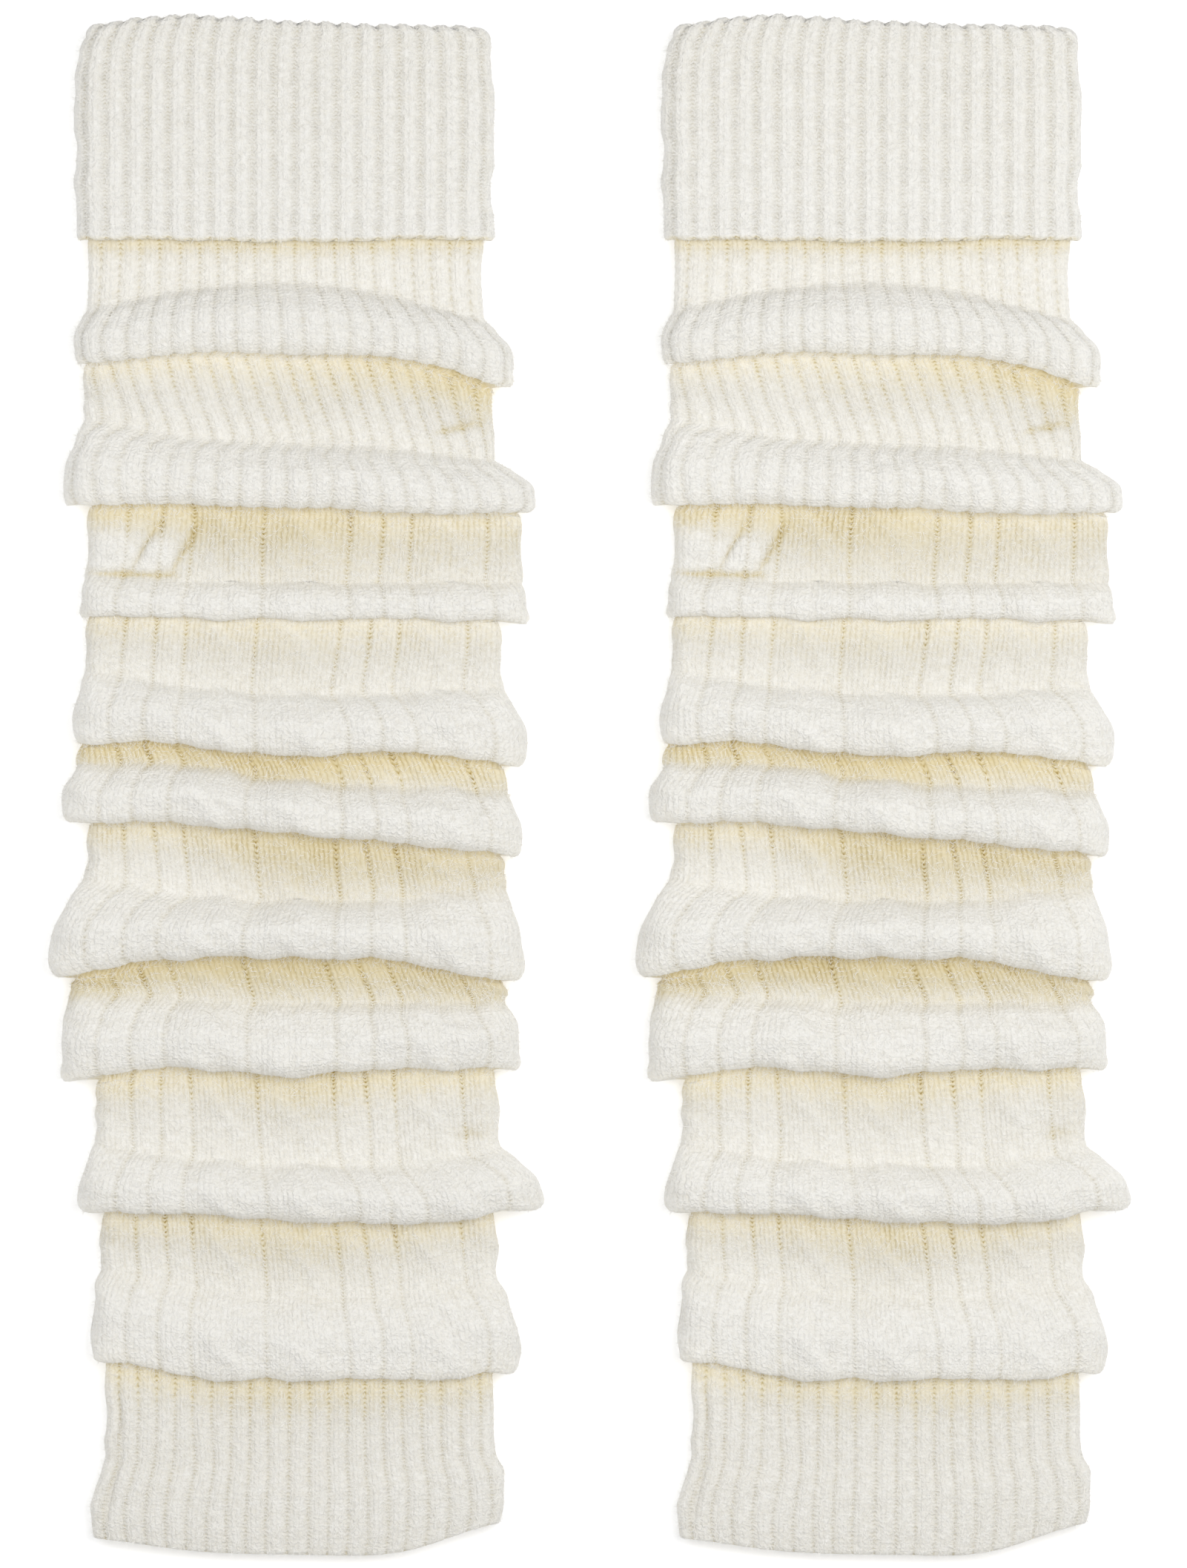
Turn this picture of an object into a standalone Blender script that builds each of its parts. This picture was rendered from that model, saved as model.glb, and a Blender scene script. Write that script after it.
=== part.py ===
"""A pair of slouchy knitted leg warmers, laid flat side by side.

Each leg warmer is one knitted tube, laid flat and pushed together along its length, so that its
front lies in nine soft folds that overhang the cloth below them. The top is turned down into a
cuff. The top, the first two folds and the ankle are 2x2 rib, and the leg between them has
panels with cables. Each stretch of stitch is a solid of its own.

X runs across the leg warmers, Y up their length and Z off the surface they lie on.
"""

import math
from collections import namedtuple

import bmesh
import bpy
import numpy as np

MM = 0.001

# Driving dimensions, in millimetres
LEG_SPACING = 198.0         # from one leg warmer's middle to the other's
TOP_Y = 259.0               # the top of the cuff, with the pair's middle at Y = 0
WALL = 2.3                  # the knitted cloth, without the ribs that stand on it
RIB_RISE = 0.9              # how far a rib stands out of the groove beside it
RIB_ROUND = 0.8             # the power that makes a rib's top round and its groove narrow
PANEL_RISE = 1.1            # how far a wide panel swells between its grooves
NARROW_RISE = 0.77          # how far a narrow one swells
PANEL_ROUND = 0.5           # the power that makes a panel flat and its grooves narrow
CABLE_RISE = 0.35           # the strands that cross a wide panel
CABLE_PITCH = 34.0          # the length in which a strand crosses its panel
RIBS_ACROSS = 21            # 2x2 ribs across the front
SEAM_GAP = 0.3
NECK_HEIGHT = 7.8           # the flat tube between two folds
GROOVE = 1.2                # the hollow on the underside behind each fold's lip
SIDE_HEIGHT = 0.44          # where the tube is widest, as a share of its height
DROOP = 0.10                # how far a fold's crest sinks towards the sides
SIDE_FADE = 8               # an even power: the higher, the nearer the sides a tuck fades out
LEAN_FADE = 6               # the same for the wales that lean

# The cuff is two walls with a narrow gap between them
CUFF_HEIGHT = 13.0
CUFF_LAYER_GAP = 0.8
CUFF_TOP = (3.6, 0.0, 1.6, 3.0, 4.2)
CUFF_EDGE = (74.4, 74.2, 74.8, 74.0, 73.8)
CUFF_LEFT, CUFF_RIGHT = -74.4, 66.0
CUFF_SEAM = 62.0            # where the cuff's inner wall meets the rest of the tube

# Lines across the front are given at five places: left side, quarter, middle, quarter, right side.
# They are drops from the top of the cuff. The foot is where a fold starts to rise, and the lip is
# its lowest edge. The neck is the flat tube above the fold. The tuck is how far the cloth runs
# back up under the lip, and the slant is how far the wales lean to the right across the neck.
Fold = namedtuple("Fold", "foot lip left right neck_left neck_right height tuck slant")
FOLDS = (
    Fold((96.5, 90.5, 88.0, 92.2, 100.5), (115.5, 112.5, 113.0, 114.0, 123.5),
         -74.5, 73.0, -69.6, 62.2, 17.5, 7.0, 0.0),
    Fold((134.5, 140.5, 142.5, 144.2, 148.5), (163.2, 163.8, 164.5, 166.0, 165.5),
         -78.2, 80.5, -71.0, 65.4, 19.0, 7.5, 8.5),
    Fold((188.0, 189.5, 190.2, 190.0, 189.8), (200.5, 201.0, 201.8, 201.8, 202.5),
         -72.0, 76.5, -69.4, 74.2, 14.0, 4.5, -1.5),
    Fold((219.8, 224.8, 227.2, 227.2, 224.8), (243.5, 244.2, 247.5, 246.5, 251.0),
         -74.0, 76.2, -69.4, 67.0, 18.5, 7.5, -2.5),
    Fold((251.0, 251.5, 256.8, 258.5, 259.8), (270.0, 270.5, 273.5, 277.2, 281.2),
         -77.5, 74.5, -72.4, 68.6, 20.0, 7.5, 3.5),
    Fold((289.8, 295.0, 297.2, 296.5, 292.2), (322.5, 316.5, 315.8, 317.5, 323.5),
         -81.7, 75.0, -69.2, 68.5, 20.5, 7.5, 2.5),
    Fold((327.5, 330.0, 331.5, 331.5, 331.0), (357.0, 353.0, 355.5, 353.5, 353.5),
         -78.0, 74.2, -74.8, 68.6, 18.5, 7.5, 4.5),
    Fold((379.0, 384.0, 386.0, 386.0, 381.0), (401.0, 402.0, 404.8, 405.0, 400.5),
         -71.8, 81.5, -66.6, 66.0, 18.0, 7.0, 1.5),
    Fold((421.0, 427.2, 429.8, 428.5, 424.8), (452.0, 457.2, 458.0, 458.0, 456.0),
         -67.8, 73.8, -64.5, 65.6, 15.5, 6.5, 2.0),
)
RIB_FOLDS = 2               # the folds that belong to the rib top

# The section of one fold, down its front. Run is the share of the way from foot to lip. Back is
# how much of the tuck the cloth has gone back up in front, behind is the same on the underside,
# and beside is the same at the two sides, where the cloth steps in without a tuck. Rise, bulge,
# groove and relief are shares of the fold's height, of its side bulge, of the underside's
# groove and of the knitted relief.
Step = namedtuple("Step", "name run back behind beside rise bulge groove relief")
FOLD_STEPS = (
    Step("foot", 0.00, 0.00, 0.00, 0.00, 0.10, 0.08, 0.10, 1.0),
    Step("shoulder", 0.24, 0.00, 0.00, 0.00, 0.60, 0.50, 0.00, 1.0),
    Step("crest", 0.58, 0.00, 0.12, 0.00, 1.00, 0.92, 0.00, 1.0),
    Step("brow", 0.90, 0.00, 0.45, 0.00, 0.84, 1.00, 0.00, 1.0),
    Step("lip", 1.00, 0.00, 0.62, 0.00, 0.52, 0.86, 0.30, 0.8),
    Step("under", 1.00, 0.38, 0.50, -0.04, 0.27, 0.40, 0.75, 0.4),
    Step("tuck", 1.00, 1.00, 0.40, -0.09, 0.13, 0.05, 1.00, 0.1),
    Step("seam", 1.00, 0.30, 0.30, -0.15, 0.00, 0.00, 1.00, 0.3),
    Step("neck", 1.00, -0.16, -0.12, -0.24, 0.00, 0.00, 0.80, 0.9),
)
BELOW_LIP = ("under", "tuck", "seam", "neck")   # steps as wide as the neck below the fold
LONG_NECK = 14.0            # a neck longer than this gets a level of its own half-way down

# The outside has a row of points at every step but these, unless a stretch ends there
OUTSIDE_SKIPS = ("seam",)
INSIDE_SKIPS = ("shoulder", "brow", "under", "seam")
CLEAR_OF_TOP = 5.0          # no inside row is nearer than this to the top of its stretch
OUTSIDE_STEP = 0.02         # the lengths of cloth that the facings are read over
INSIDE_STEP = 1.6
TURN = 0.002                # the step round the tube, as a share of its front

# Plain levels of the tube: above the first fold, and from the ninth fold to the hem
Plain = namedtuple("Plain", "line left right height lift relief")
CUFF_INSET = WALL + CUFF_LAYER_GAP
HIDDEN_LEVELS = (
    Plain((CUFF_SEAM,) * 5, CUFF_LEFT + CUFF_INSET, CUFF_RIGHT - CUFF_INSET,
          CUFF_HEIGHT - CUFF_INSET, CUFF_INSET, 0.0),
    Plain((72.0,) * 5, -70.8, 63.0, 9.2, 3.0, 0.0),
    Plain((78.0,) * 5, -69.9, 62.4, 8.4, 2.2, 0.8),
)
ANKLE_LEVELS = (
    Plain((467.5, 468.0, 468.5, 468.0, 466.5), -64.4, 65.7, 7.6, 0.3, 1.0),
    Plain((485.0, 486.0, 486.5, 486.0, 483.0), -64.6, 66.6, 8.0, 0.0, 1.0),
    Plain((495.0, 497.0, 498.0, 496.5, 491.5), -67.6, 69.3, 9.2, 0.0, 1.0),
    Plain((504.5, 507.8, 508.9, 507.2, 500.5), -69.2, 69.6, 9.0, 0.0, 1.0),
    Plain((512.6, 516.8, 518.0, 517.3, 507.6), -68.4, 68.2, 8.0, 0.0, 1.0),
)

# The panels between grooves: two wide ones and two narrow ones, twice across the front. The
# repeat and its start are shares of the front's width, and the grooves are shares of the repeat.
PANEL_REPEAT = 0.5
PANEL_START = 0.411
PANEL_GROOVES = (0.0, 0.381, 0.524, 0.667)
WIDE_PANEL = 0.3            # a panel over this share of the repeat carries a cable
WIDE_COLUMNS = (0.25, 0.75)

# Small crumples of cloth, above the left end of the third fold and beside the second fold's
# right end. Across and its reach are shares of half the front's width.
Crumple = namedtuple("Crumple", "drop across reach_down reach_across height")
CRUMPLES = (
    Crumple(178.5, -0.80, 5.0, 0.26, 3.2),
    Crumple(130.0, 0.78, 7.0, 0.24, 1.8),
)

# Places round the tube where the plain inside and the flat underside have their points. The
# front runs from 0 at the left side to 1 at the right, and the back from 1 to 2.
SIDE_COLUMN = 0.03
BACK_COLUMNS = (1.03, 1.09, 1.5, 1.91, 1.97)
PLAIN_COLUMNS = (0.0, 0.035, 0.08, 0.25, 0.5, 0.75, 0.92, 0.965, 1.0,
                 1.035, 1.08, 1.92, 1.965)
CUFF_PLAIN_COLUMNS = (0.0, 0.025, 0.05, 0.08, 0.25, 0.5, 0.75, 0.92, 0.95, 0.975, 1.0,
                      1.025, 1.05, 1.08, 1.5, 1.92, 1.95, 1.975)

IVORY = (0.83, 0.80, 0.73, 1.0)
KNIT_ROUGHNESS = 0.92


def level(line, pulls, left, right, height, lift, slant, relief):
    """One level of the tube as a row of numbers, so that levels can be blended.

    The pulls are how far the cloth is pulled back up from its line: in front, behind and beside.
    """
    return np.array([*line, *pulls, left, right, height, lift, slant, relief])


def fold_level(fold, neck, step):
    """The level of the tube at one step of a fold; neck gives the flat sides beside it."""
    foot = np.array(fold.foot)
    lip = np.array(fold.lip)
    line = foot + step.run * (lip - foot)
    pulls = [share * fold.tuck for share in (step.back, step.behind, step.beside)]
    left = neck.neck_left + step.bulge * (fold.left - neck.neck_left)
    right = neck.neck_right + step.bulge * (fold.right - neck.neck_right)
    height = NECK_HEIGHT + step.rise * (fold.height - NECK_HEIGHT)
    return level(line, pulls, left, right, height, step.groove * GROOVE, 0.0, step.relief)


def plain_level(plain):
    return level(plain.line, (0.0, 0.0, 0.0), plain.left, plain.right, plain.height, plain.lift,
                 0.0, plain.relief)


def leg_levels():
    """All levels from under the cuff to the hem, each with the name of its step."""
    levels = [("plain", plain_level(plain)) for plain in HIDDEN_LEVELS]
    ankle = FOLDS[-1]._replace(neck_left=ANKLE_LEVELS[0].left, neck_right=ANKLE_LEVELS[0].right,
                               slant=0.0)
    for fold, below in zip(FOLDS, FOLDS[1:] + (ankle,)):
        for step in FOLD_STEPS:
            neck = below if step.name in BELOW_LIP else fold
            made = fold_level(fold, neck, step)
            if step.name == "foot":
                made[SLANT] = 0.5 * fold.slant
            if step.name == "neck":
                made[SLANT] = -0.5 * below.slant
            levels.append((step.name, made))
        if below is not ankle and below.foot[2] - fold.lip[2] > LONG_NECK:
            middle = 0.5 * (made + fold_level(below, below, FOLD_STEPS[0]))
            middle[SLANT] = 0.0
            middle[LIFT] = 0.0
            levels.append(("middle", middle))
    levels.extend(("plain", plain_level(plain)) for plain in ANKLE_LEVELS)
    names, rows = zip(*levels)
    return names, np.array(rows)


LINE = slice(0, 5)
PULL, PULL_BEHIND, PULL_BESIDE, LEFT, RIGHT, HEIGHT, LIFT, SLANT, RELIEF = range(5, 14)
STEP_NAMES, LEVELS = leg_levels()


def knots(levels):
    """How far down the cloth each level is, measured along the middle of the front."""
    path = np.stack([levels[:, 2] - levels[:, PULL], levels[:, HEIGHT]], axis=1)
    steps = np.linalg.norm(np.diff(path, axis=0), axis=1)
    return np.concatenate([[0.0], np.cumsum(steps)])


def slopes(places, rows):
    """Slopes for a smooth curve through the rows that never runs past them."""
    gaps = np.diff(places)[:, None]
    rates = np.diff(rows, axis=0) / gaps
    inner = np.zeros_like(rows)
    before, after = rates[:-1], rates[1:]
    same_way = before * after > 0
    weight_before = 2 * gaps[1:] + gaps[:-1]
    weight_after = gaps[1:] + 2 * gaps[:-1]
    with np.errstate(divide="ignore", invalid="ignore"):
        mean = (weight_before + weight_after) / (weight_before / before + weight_after / after)
    inner[1:-1] = np.where(same_way, mean, 0.0)
    inner[0], inner[-1] = rates[0], rates[-1]
    return inner


KNOTS = knots(LEVELS)
SLOPES = slopes(KNOTS, LEVELS)


def blend_levels(down):
    """The tube's numbers at the given lengths down the cloth."""
    down = np.clip(down, KNOTS[0], KNOTS[-1])
    start = np.clip(np.searchsorted(KNOTS, down, side="right") - 1, 0, len(KNOTS) - 2)
    gap = (KNOTS[start + 1] - KNOTS[start])[..., None]
    t = (down - KNOTS[start])[..., None] / gap
    return ((2 * t**3 - 3 * t**2 + 1) * LEVELS[start] + (t**3 - 2 * t**2 + t) * gap * SLOPES[start]
            + (3 * t**2 - 2 * t**3) * LEVELS[start + 1] + (t**3 - t**2) * gap * SLOPES[start + 1])


def read_line(lines, across):
    """Read five-place lines at a share across the front, -1 at the left and 1 at the right."""
    place = np.clip((across + 1) * 2, 0, 4)
    first = np.minimum(place.astype(int), 3)
    t = place - first
    weights = (0.5 * (-t + 2 * t**2 - t**3), 0.5 * (2 - 5 * t**2 + 3 * t**3),
               0.5 * (t + 4 * t**2 - 3 * t**3), 0.5 * (t**3 - t**2))
    total = 0.0
    for offset, weight in enumerate(weights):
        column = np.clip(first + offset - 1, 0, 4)
        total = total + weight * np.take_along_axis(lines, column[..., None], axis=-1)[..., 0]
    return total


def section(around, left, right, height, lift):
    """A flat tube's section: X, Z and how far each point faces up (1) or down (0)."""
    front = around <= 1
    share = np.where(front, around, 2 - around)
    side = lift + SIDE_HEIGHT * (height - lift)
    radius = np.where(front, height - side, side - lift)
    corner = 0.5 * math.pi * radius
    total = right - left - 2 * radius + 2 * corner
    run = share * total
    turn_left = np.clip(run / radius, 0, 0.5 * math.pi)
    turn_right = np.clip((total - run) / radius, 0, 0.5 * math.pi)
    on_flat = np.clip(run - corner, 0, total - 2 * corner)
    x = left + radius * (1 - np.cos(turn_left)) + on_flat + radius * np.cos(turn_right)
    rise = radius * np.minimum(np.sin(turn_left), np.sin(turn_right))
    z = np.where(front, side + rise, side - rise)
    facing = 0.5 + 0.5 * np.where(front, rise, -rise) / radius
    return x, z, facing


def lean(around, slant, width):
    """Move the front's wales sideways, all but those at the sides."""
    free = 1 - np.clip(2 * around - 1, -1, 1)**LEAN_FADE
    return around + slant / width * free


def tube(around, down):
    """Points of the smooth cloth, without its knitted relief."""
    values = blend_levels(down)
    left, right, height, lift = (values[..., i] for i in (LEFT, RIGHT, HEIGHT, LIFT))
    around = lean(around, values[..., SLANT], right - left)
    x, z, facing = section(around, left, right, height, lift)
    across = np.clip((2 * x - left - right) / (right - left), -1, 1)
    pull = facing * values[..., PULL] + (1 - facing) * values[..., PULL_BEHIND]
    beside = across**SIDE_FADE
    pull = (1 - beside) * pull + beside * values[..., PULL_BESIDE]
    drop = read_line(values[..., LINE], across) - pull
    top = facing * np.clip((height - NECK_HEIGHT) / NECK_HEIGHT, 0, 1)
    z = z - DROOP * top * across**2 * (z - lift)
    for c in CRUMPLES:
        reach = ((drop - c.drop) / c.reach_down)**2 + ((across - c.across) / c.reach_across)**2
        z = z + c.height * np.exp(-reach) * np.clip(2 * facing - 1, 0, 1)
    return np.stack([x, TOP_Y - drop, z], axis=-1)


def cuff_point(around, drop_share, drop_offset, inset):
    """Points of the turned-down cuff, inset from its outer face."""
    x, z, _ = section(around, CUFF_LEFT + inset, CUFF_RIGHT - inset,
                      CUFF_HEIGHT - inset, inset)
    across = np.clip((2 * x - CUFF_LEFT - CUFF_RIGHT) / (CUFF_RIGHT - CUFF_LEFT), -1, 1)
    lines = np.broadcast_to(np.array([CUFF_TOP, CUFF_EDGE]), across.shape + (2, 5))
    drop = read_line(lines[..., 0, :], across) * (1 - drop_share) + drop_offset
    drop = drop + read_line(lines[..., 1, :], across) * drop_share
    return np.stack([x, TOP_Y - drop, z], axis=-1)


def normals(around, down, step):
    """Which way the tube faces, from short steps round it and down it.

    A long step down it gives one middle direction through a tight tuck.
    """
    along_around = wrapped_tube(around + TURN, down) - wrapped_tube(around - TURN, down)
    along_down = wrapped_tube(around, down + step) - wrapped_tube(around, down - step)
    normal = np.cross(along_down, along_around)
    return normal / np.linalg.norm(normal, axis=-1, keepdims=True)


def wrapped_tube(around, down):
    return tube(np.mod(around, 2.0), down)


def rib_relief(around, down=None):
    """2x2 ribs on the front: round tops with narrow grooves between them, the same all down."""
    swell = np.abs(np.sin(math.pi * RIBS_ACROSS * np.clip(around, 0, 1)))
    return RIB_RISE * swell**RIB_ROUND


def panel_relief(around, down):
    """Panels that swell between their grooves, the wide ones with slanting strands."""
    share = np.mod((np.clip(around, 0, 1) - PANEL_START) / PANEL_REPEAT, 1.0)
    edges = np.array(PANEL_GROOVES + (1.0,))
    panel = np.clip(np.searchsorted(edges, share + 1e-6, side="right") - 1, 0, len(edges) - 2)
    width = edges[panel + 1] - edges[panel]
    place = np.clip((share - edges[panel]) / width, 0, 1)
    swell = np.sin(math.pi * place)**PANEL_ROUND
    strands = np.cos(2 * math.pi * (place - down / CABLE_PITCH)) * np.sin(math.pi * place)
    wide = width > WIDE_PANEL
    return np.where(wide, PANEL_RISE * swell + CABLE_RISE * strands, NARROW_RISE * swell)


def rib_columns():
    """A column in each groove and on each rib of the front, and the underside's few."""
    front = [i / (2 * RIBS_ACROSS) for i in range(2 * RIBS_ACROSS + 1)]
    return np.array(front + list(BACK_COLUMNS))


def rim_columns(plain):
    """Columns for the inner rim of an end: the plain ones, and one in each groove of the front."""
    grooves = [i / RIBS_ACROSS for i in range(2, RIBS_ACROSS - 1)]
    return np.array(sorted(set(plain) | set(grooves)))


def panel_columns():
    """Columns at the panels' grooves and on the panels between them, and at the sides."""
    edges = PANEL_GROOVES + (1.0,)
    shares = []
    for start, end in zip(edges, edges[1:]):
        inner = WIDE_COLUMNS if end - start > WIDE_PANEL else (0.5,)
        shares.extend([start] + [start + place * (end - start) for place in inner])
    front = {0.0, SIDE_COLUMN, 1.0 - SIDE_COLUMN, 1.0}
    for repeat in (-1, 0, 1):
        for share in shares:
            around = PANEL_START + (repeat + share) * PANEL_REPEAT
            if 1.5 * SIDE_COLUMN < around < 1.0 - 1.5 * SIDE_COLUMN:
                front.add(around)
    return np.array(sorted(front) + list(BACK_COLUMNS))


def ring(points, columns):
    """One ring of a loft: its points in metres and where they are round the tube."""
    return points * MM, columns


def rows_between(top, bottom, skips, clear):
    """The levels with a row of points in a stretch of cloth. Its two ends always have one."""
    return [knot for knot, name in zip(KNOTS, STEP_NAMES)
            if knot in (top, bottom) or (top + clear < knot < bottom and name not in skips)]


def outside_points(columns, row, relief):
    """The knitted outside: the smooth cloth, raised where the knitting stands up on the front."""
    down = np.full(columns.shape, row)
    on_front = (columns > 0) & (columns < 1)
    raised = relief(columns, down) * on_front * blend_levels(down)[..., RELIEF]
    return wrapped_tube(columns, down) + normals(columns, down, OUTSIDE_STEP) * raised[..., None]


def inside_points(columns, row):
    down = np.full(columns.shape, row)
    return wrapped_tube(columns, down) - normals(columns, down, INSIDE_STEP) * WALL


def down_the_cloth(columns, row):
    """Which way the cloth runs, as unit vectors."""
    step = 0.2
    below = wrapped_tube(columns, np.full(columns.shape, row + step))
    above = wrapped_tube(columns, np.full(columns.shape, row - step))
    return (below - above) / np.linalg.norm(below - above, axis=-1, keepdims=True)


def wall_rings(top, bottom, gaps, columns, relief):
    """Rings of a closed wall: down its knitted outside and back up its plain inside.

    Top and bottom are lengths down the cloth. Each end is moved in along the cloth by its gap.
    Both sides of a seam have their points at the same places.
    """
    shifts = {top: gaps[0], bottom: -gaps[1]}
    outside = []
    for row in rows_between(top, bottom, OUTSIDE_SKIPS, 0.0):
        places = rib_columns() if row in shifts else columns
        moved = shifts.get(row, 0.0) * down_the_cloth(places, row)
        outside.append(ring(outside_points(places, row, relief) + moved, places))
    inside = []
    for row in rows_between(top, bottom, INSIDE_SKIPS, CLEAR_OF_TOP):
        places = rim_columns(PLAIN_COLUMNS) if row in shifts else np.array(PLAIN_COLUMNS)
        moved = shifts.get(row, 0.0) * down_the_cloth(places, row)
        inside.append(ring(inside_points(places, row) + moved, places))
    return outside + inside[::-1]


def cuff_rings():
    """Rings of the cuff: up its ribbed face, over the top and down inside, and back between.

    Rows give the share of the way from the top line to the lower edge, a drop in millimetres
    added to it, and the inset from the outer face.
    """
    turn = WALL + 0.5 * CUFF_LAYER_GAP
    hidden_turn = 0.5 * CUFF_LAYER_GAP
    ribbed = rib_columns()
    plain = np.array(CUFF_PLAIN_COLUMNS)
    seam = CUFF_SEAM - 0.5 * SEAM_GAP
    face = [(1.0, 0.0, 0.0), (0.66, 0.0, 0.0), (0.33, 0.0, 0.0), (0.0, 1.6 * turn, 0.0),
            (0.0, 0.45 * turn, 0.25 * turn), (0.0, 0.0, turn)]
    inside = [(0.0, 0.45 * turn, 1.75 * turn), (0.0, 1.6 * turn, 2 * turn)]
    between = [(0.0, turn, turn + hidden_turn), (0.0, turn - hidden_turn, turn),
               (0.0, turn, turn - hidden_turn)]
    rings = []
    for rows, columns in ((face, ribbed), (inside, plain)):
        for share, offset, inset in rows:
            points = cuff_point(columns, np.full(columns.shape, share), offset, inset)
            if columns is ribbed:
                rise = rib_relief(columns) * (1 - inset / turn)
                on_front = (columns > 0) & (columns < 1)
                points = points + cuff_facing(columns, inset) * (rise * on_front)[..., None]
            rings.append(ring(points, columns))
    for inset in (2 * turn, turn + hidden_turn):
        points = cuff_point(plain, np.zeros(plain.shape), 0.0, inset)
        points[..., 1] = TOP_Y - seam
        rings.append(ring(points, plain))
    for share, offset, inset in between:
        rings.append(ring(cuff_point(plain, np.full(plain.shape, share), offset, inset), plain))
    edge = rim_columns(CUFF_PLAIN_COLUMNS)
    rings.append(ring(cuff_point(edge, np.ones(edge.shape), 0.0, WALL), edge))
    return rings


def cuff_facing(around, inset):
    """Which way the cuff's straight face looks, across its section."""
    half_way = np.full(around.shape, 0.5)
    after = cuff_point(np.mod(around + TURN, 2.0), half_way, 0.0, inset)
    before = cuff_point(np.mod(around - TURN, 2.0), half_way, 0.0, inset)
    along = after - before
    facing = np.stack([-along[..., 2], np.zeros(around.shape), along[..., 0]], axis=-1)
    return facing / np.linalg.norm(facing, axis=-1, keepdims=True)


def loft(name, rings, material, collection):
    """A closed body through a cycle of rings, each joined to the next and the last to the first."""
    bm = bmesh.new()
    made = [[bm.verts.new(point) for point in points] for points, _ in rings]
    for number, (points, columns) in enumerate(rings):
        after = (number + 1) % len(rings)
        join_rings(bm, made[number], columns, made[after], rings[after][1])
    bmesh.ops.recalc_face_normals(bm, faces=bm.faces)
    mesh = bpy.data.meshes.new(name)
    bm.to_mesh(mesh)
    bm.free()
    mesh.shade_smooth()
    mesh.materials.append(material)
    obj = bpy.data.objects.new(name, mesh)
    collection.objects.link(obj)
    return obj


def join_rings(bm, upper, upper_places, lower, lower_places):
    """Faces between two rings: four-sided where their columns match, else three-sided."""
    if len(upper) == len(lower):
        for i in range(len(upper)):
            j = (i + 1) % len(upper)
            bm.faces.new((upper[i], lower[i], lower[j], upper[j]))
        return
    above = list(upper_places) + [upper_places[0] + 2.0]
    below = list(lower_places) + [lower_places[0] + 2.0]
    i = j = 0
    while i < len(upper) or j < len(lower):
        a, b = upper[i % len(upper)], lower[j % len(lower)]
        step_above = j == len(lower) or (i < len(upper) and above[i + 1] <= below[j + 1])
        if step_above:
            bm.faces.new((a, b, upper[(i + 1) % len(upper)]))
            i += 1
        else:
            bm.faces.new((a, b, lower[(j + 1) % len(lower)]))
            j += 1


def knit_material(name):
    material = bpy.data.materials.new(name)
    material.use_nodes = True
    shader = material.node_tree.nodes["Principled BSDF"]
    shader.inputs["Base Color"].default_value = IVORY
    shader.inputs["Roughness"].default_value = KNIT_ROUGHNESS
    shader.inputs["Metallic"].default_value = 0.0
    return material


def leg_warmer(side, middle_x, collection):
    """The four solids of one leg warmer, moved across to its place in the pair."""
    seams = [knot for knot, name in zip(KNOTS, STEP_NAMES) if name == "seam"]
    rib_seam = seams[RIB_FOLDS - 1]
    ankle_seam = seams[-1]
    half = 0.5 * SEAM_GAP
    seamed, hemmed = (half, half), (half, 0.0)
    stretches = {
        "cuff": cuff_rings(),
        "rib_top": wall_rings(KNOTS[0], rib_seam, seamed, rib_columns(), rib_relief),
        "cable_leg": wall_rings(rib_seam, ankle_seam, seamed, panel_columns(), panel_relief),
        "ankle_rib": wall_rings(ankle_seam, KNOTS[-1], hemmed, rib_columns(), rib_relief),
    }
    for stretch, rings in stretches.items():
        name = f"{side}_{stretch}"
        obj = loft(name, rings, knit_material(name), collection)
        obj.location.x = middle_x * MM


def main():
    for old in list(bpy.data.objects):
        bpy.data.objects.remove(old)
    collection = bpy.data.collections.new("leg_warmers")
    bpy.context.scene.collection.children.link(collection)
    leg_warmer("left", -0.5 * LEG_SPACING, collection)
    leg_warmer("right", 0.5 * LEG_SPACING, collection)


main()
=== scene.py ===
"""A pair of slouchy knitted leg warmers, laid flat side by side: the looks around the CAD frame.

The two are copies of each other. Each one is a single knitted tube, worked from the cuff down:
a turned-down cuff and two folds in 2x2 rib, seven folds in smooth panels and cables, and a ribbed
ankle. Lengths are in millimetres and are made metres when a mesh is built.
"""

import math
from collections import namedtuple

import bpy
import numpy as np
from mathutils import Matrix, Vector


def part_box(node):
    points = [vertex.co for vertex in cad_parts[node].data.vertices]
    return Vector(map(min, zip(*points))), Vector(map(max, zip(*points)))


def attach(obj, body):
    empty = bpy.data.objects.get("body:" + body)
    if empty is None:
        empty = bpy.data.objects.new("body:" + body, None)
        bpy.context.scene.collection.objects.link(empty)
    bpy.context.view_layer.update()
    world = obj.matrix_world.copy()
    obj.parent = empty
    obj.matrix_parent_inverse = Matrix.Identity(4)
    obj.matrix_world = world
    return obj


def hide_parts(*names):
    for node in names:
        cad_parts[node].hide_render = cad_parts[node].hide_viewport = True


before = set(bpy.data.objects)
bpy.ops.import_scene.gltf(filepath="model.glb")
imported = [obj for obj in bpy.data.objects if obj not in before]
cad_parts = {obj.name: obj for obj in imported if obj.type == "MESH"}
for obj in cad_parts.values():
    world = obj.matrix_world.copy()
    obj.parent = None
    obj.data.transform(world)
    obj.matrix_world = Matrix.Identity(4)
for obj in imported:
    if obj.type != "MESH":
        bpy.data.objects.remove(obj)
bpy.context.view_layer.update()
bpy.ops.object.select_all(action="DESELECT")
MM = 0.001


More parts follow.
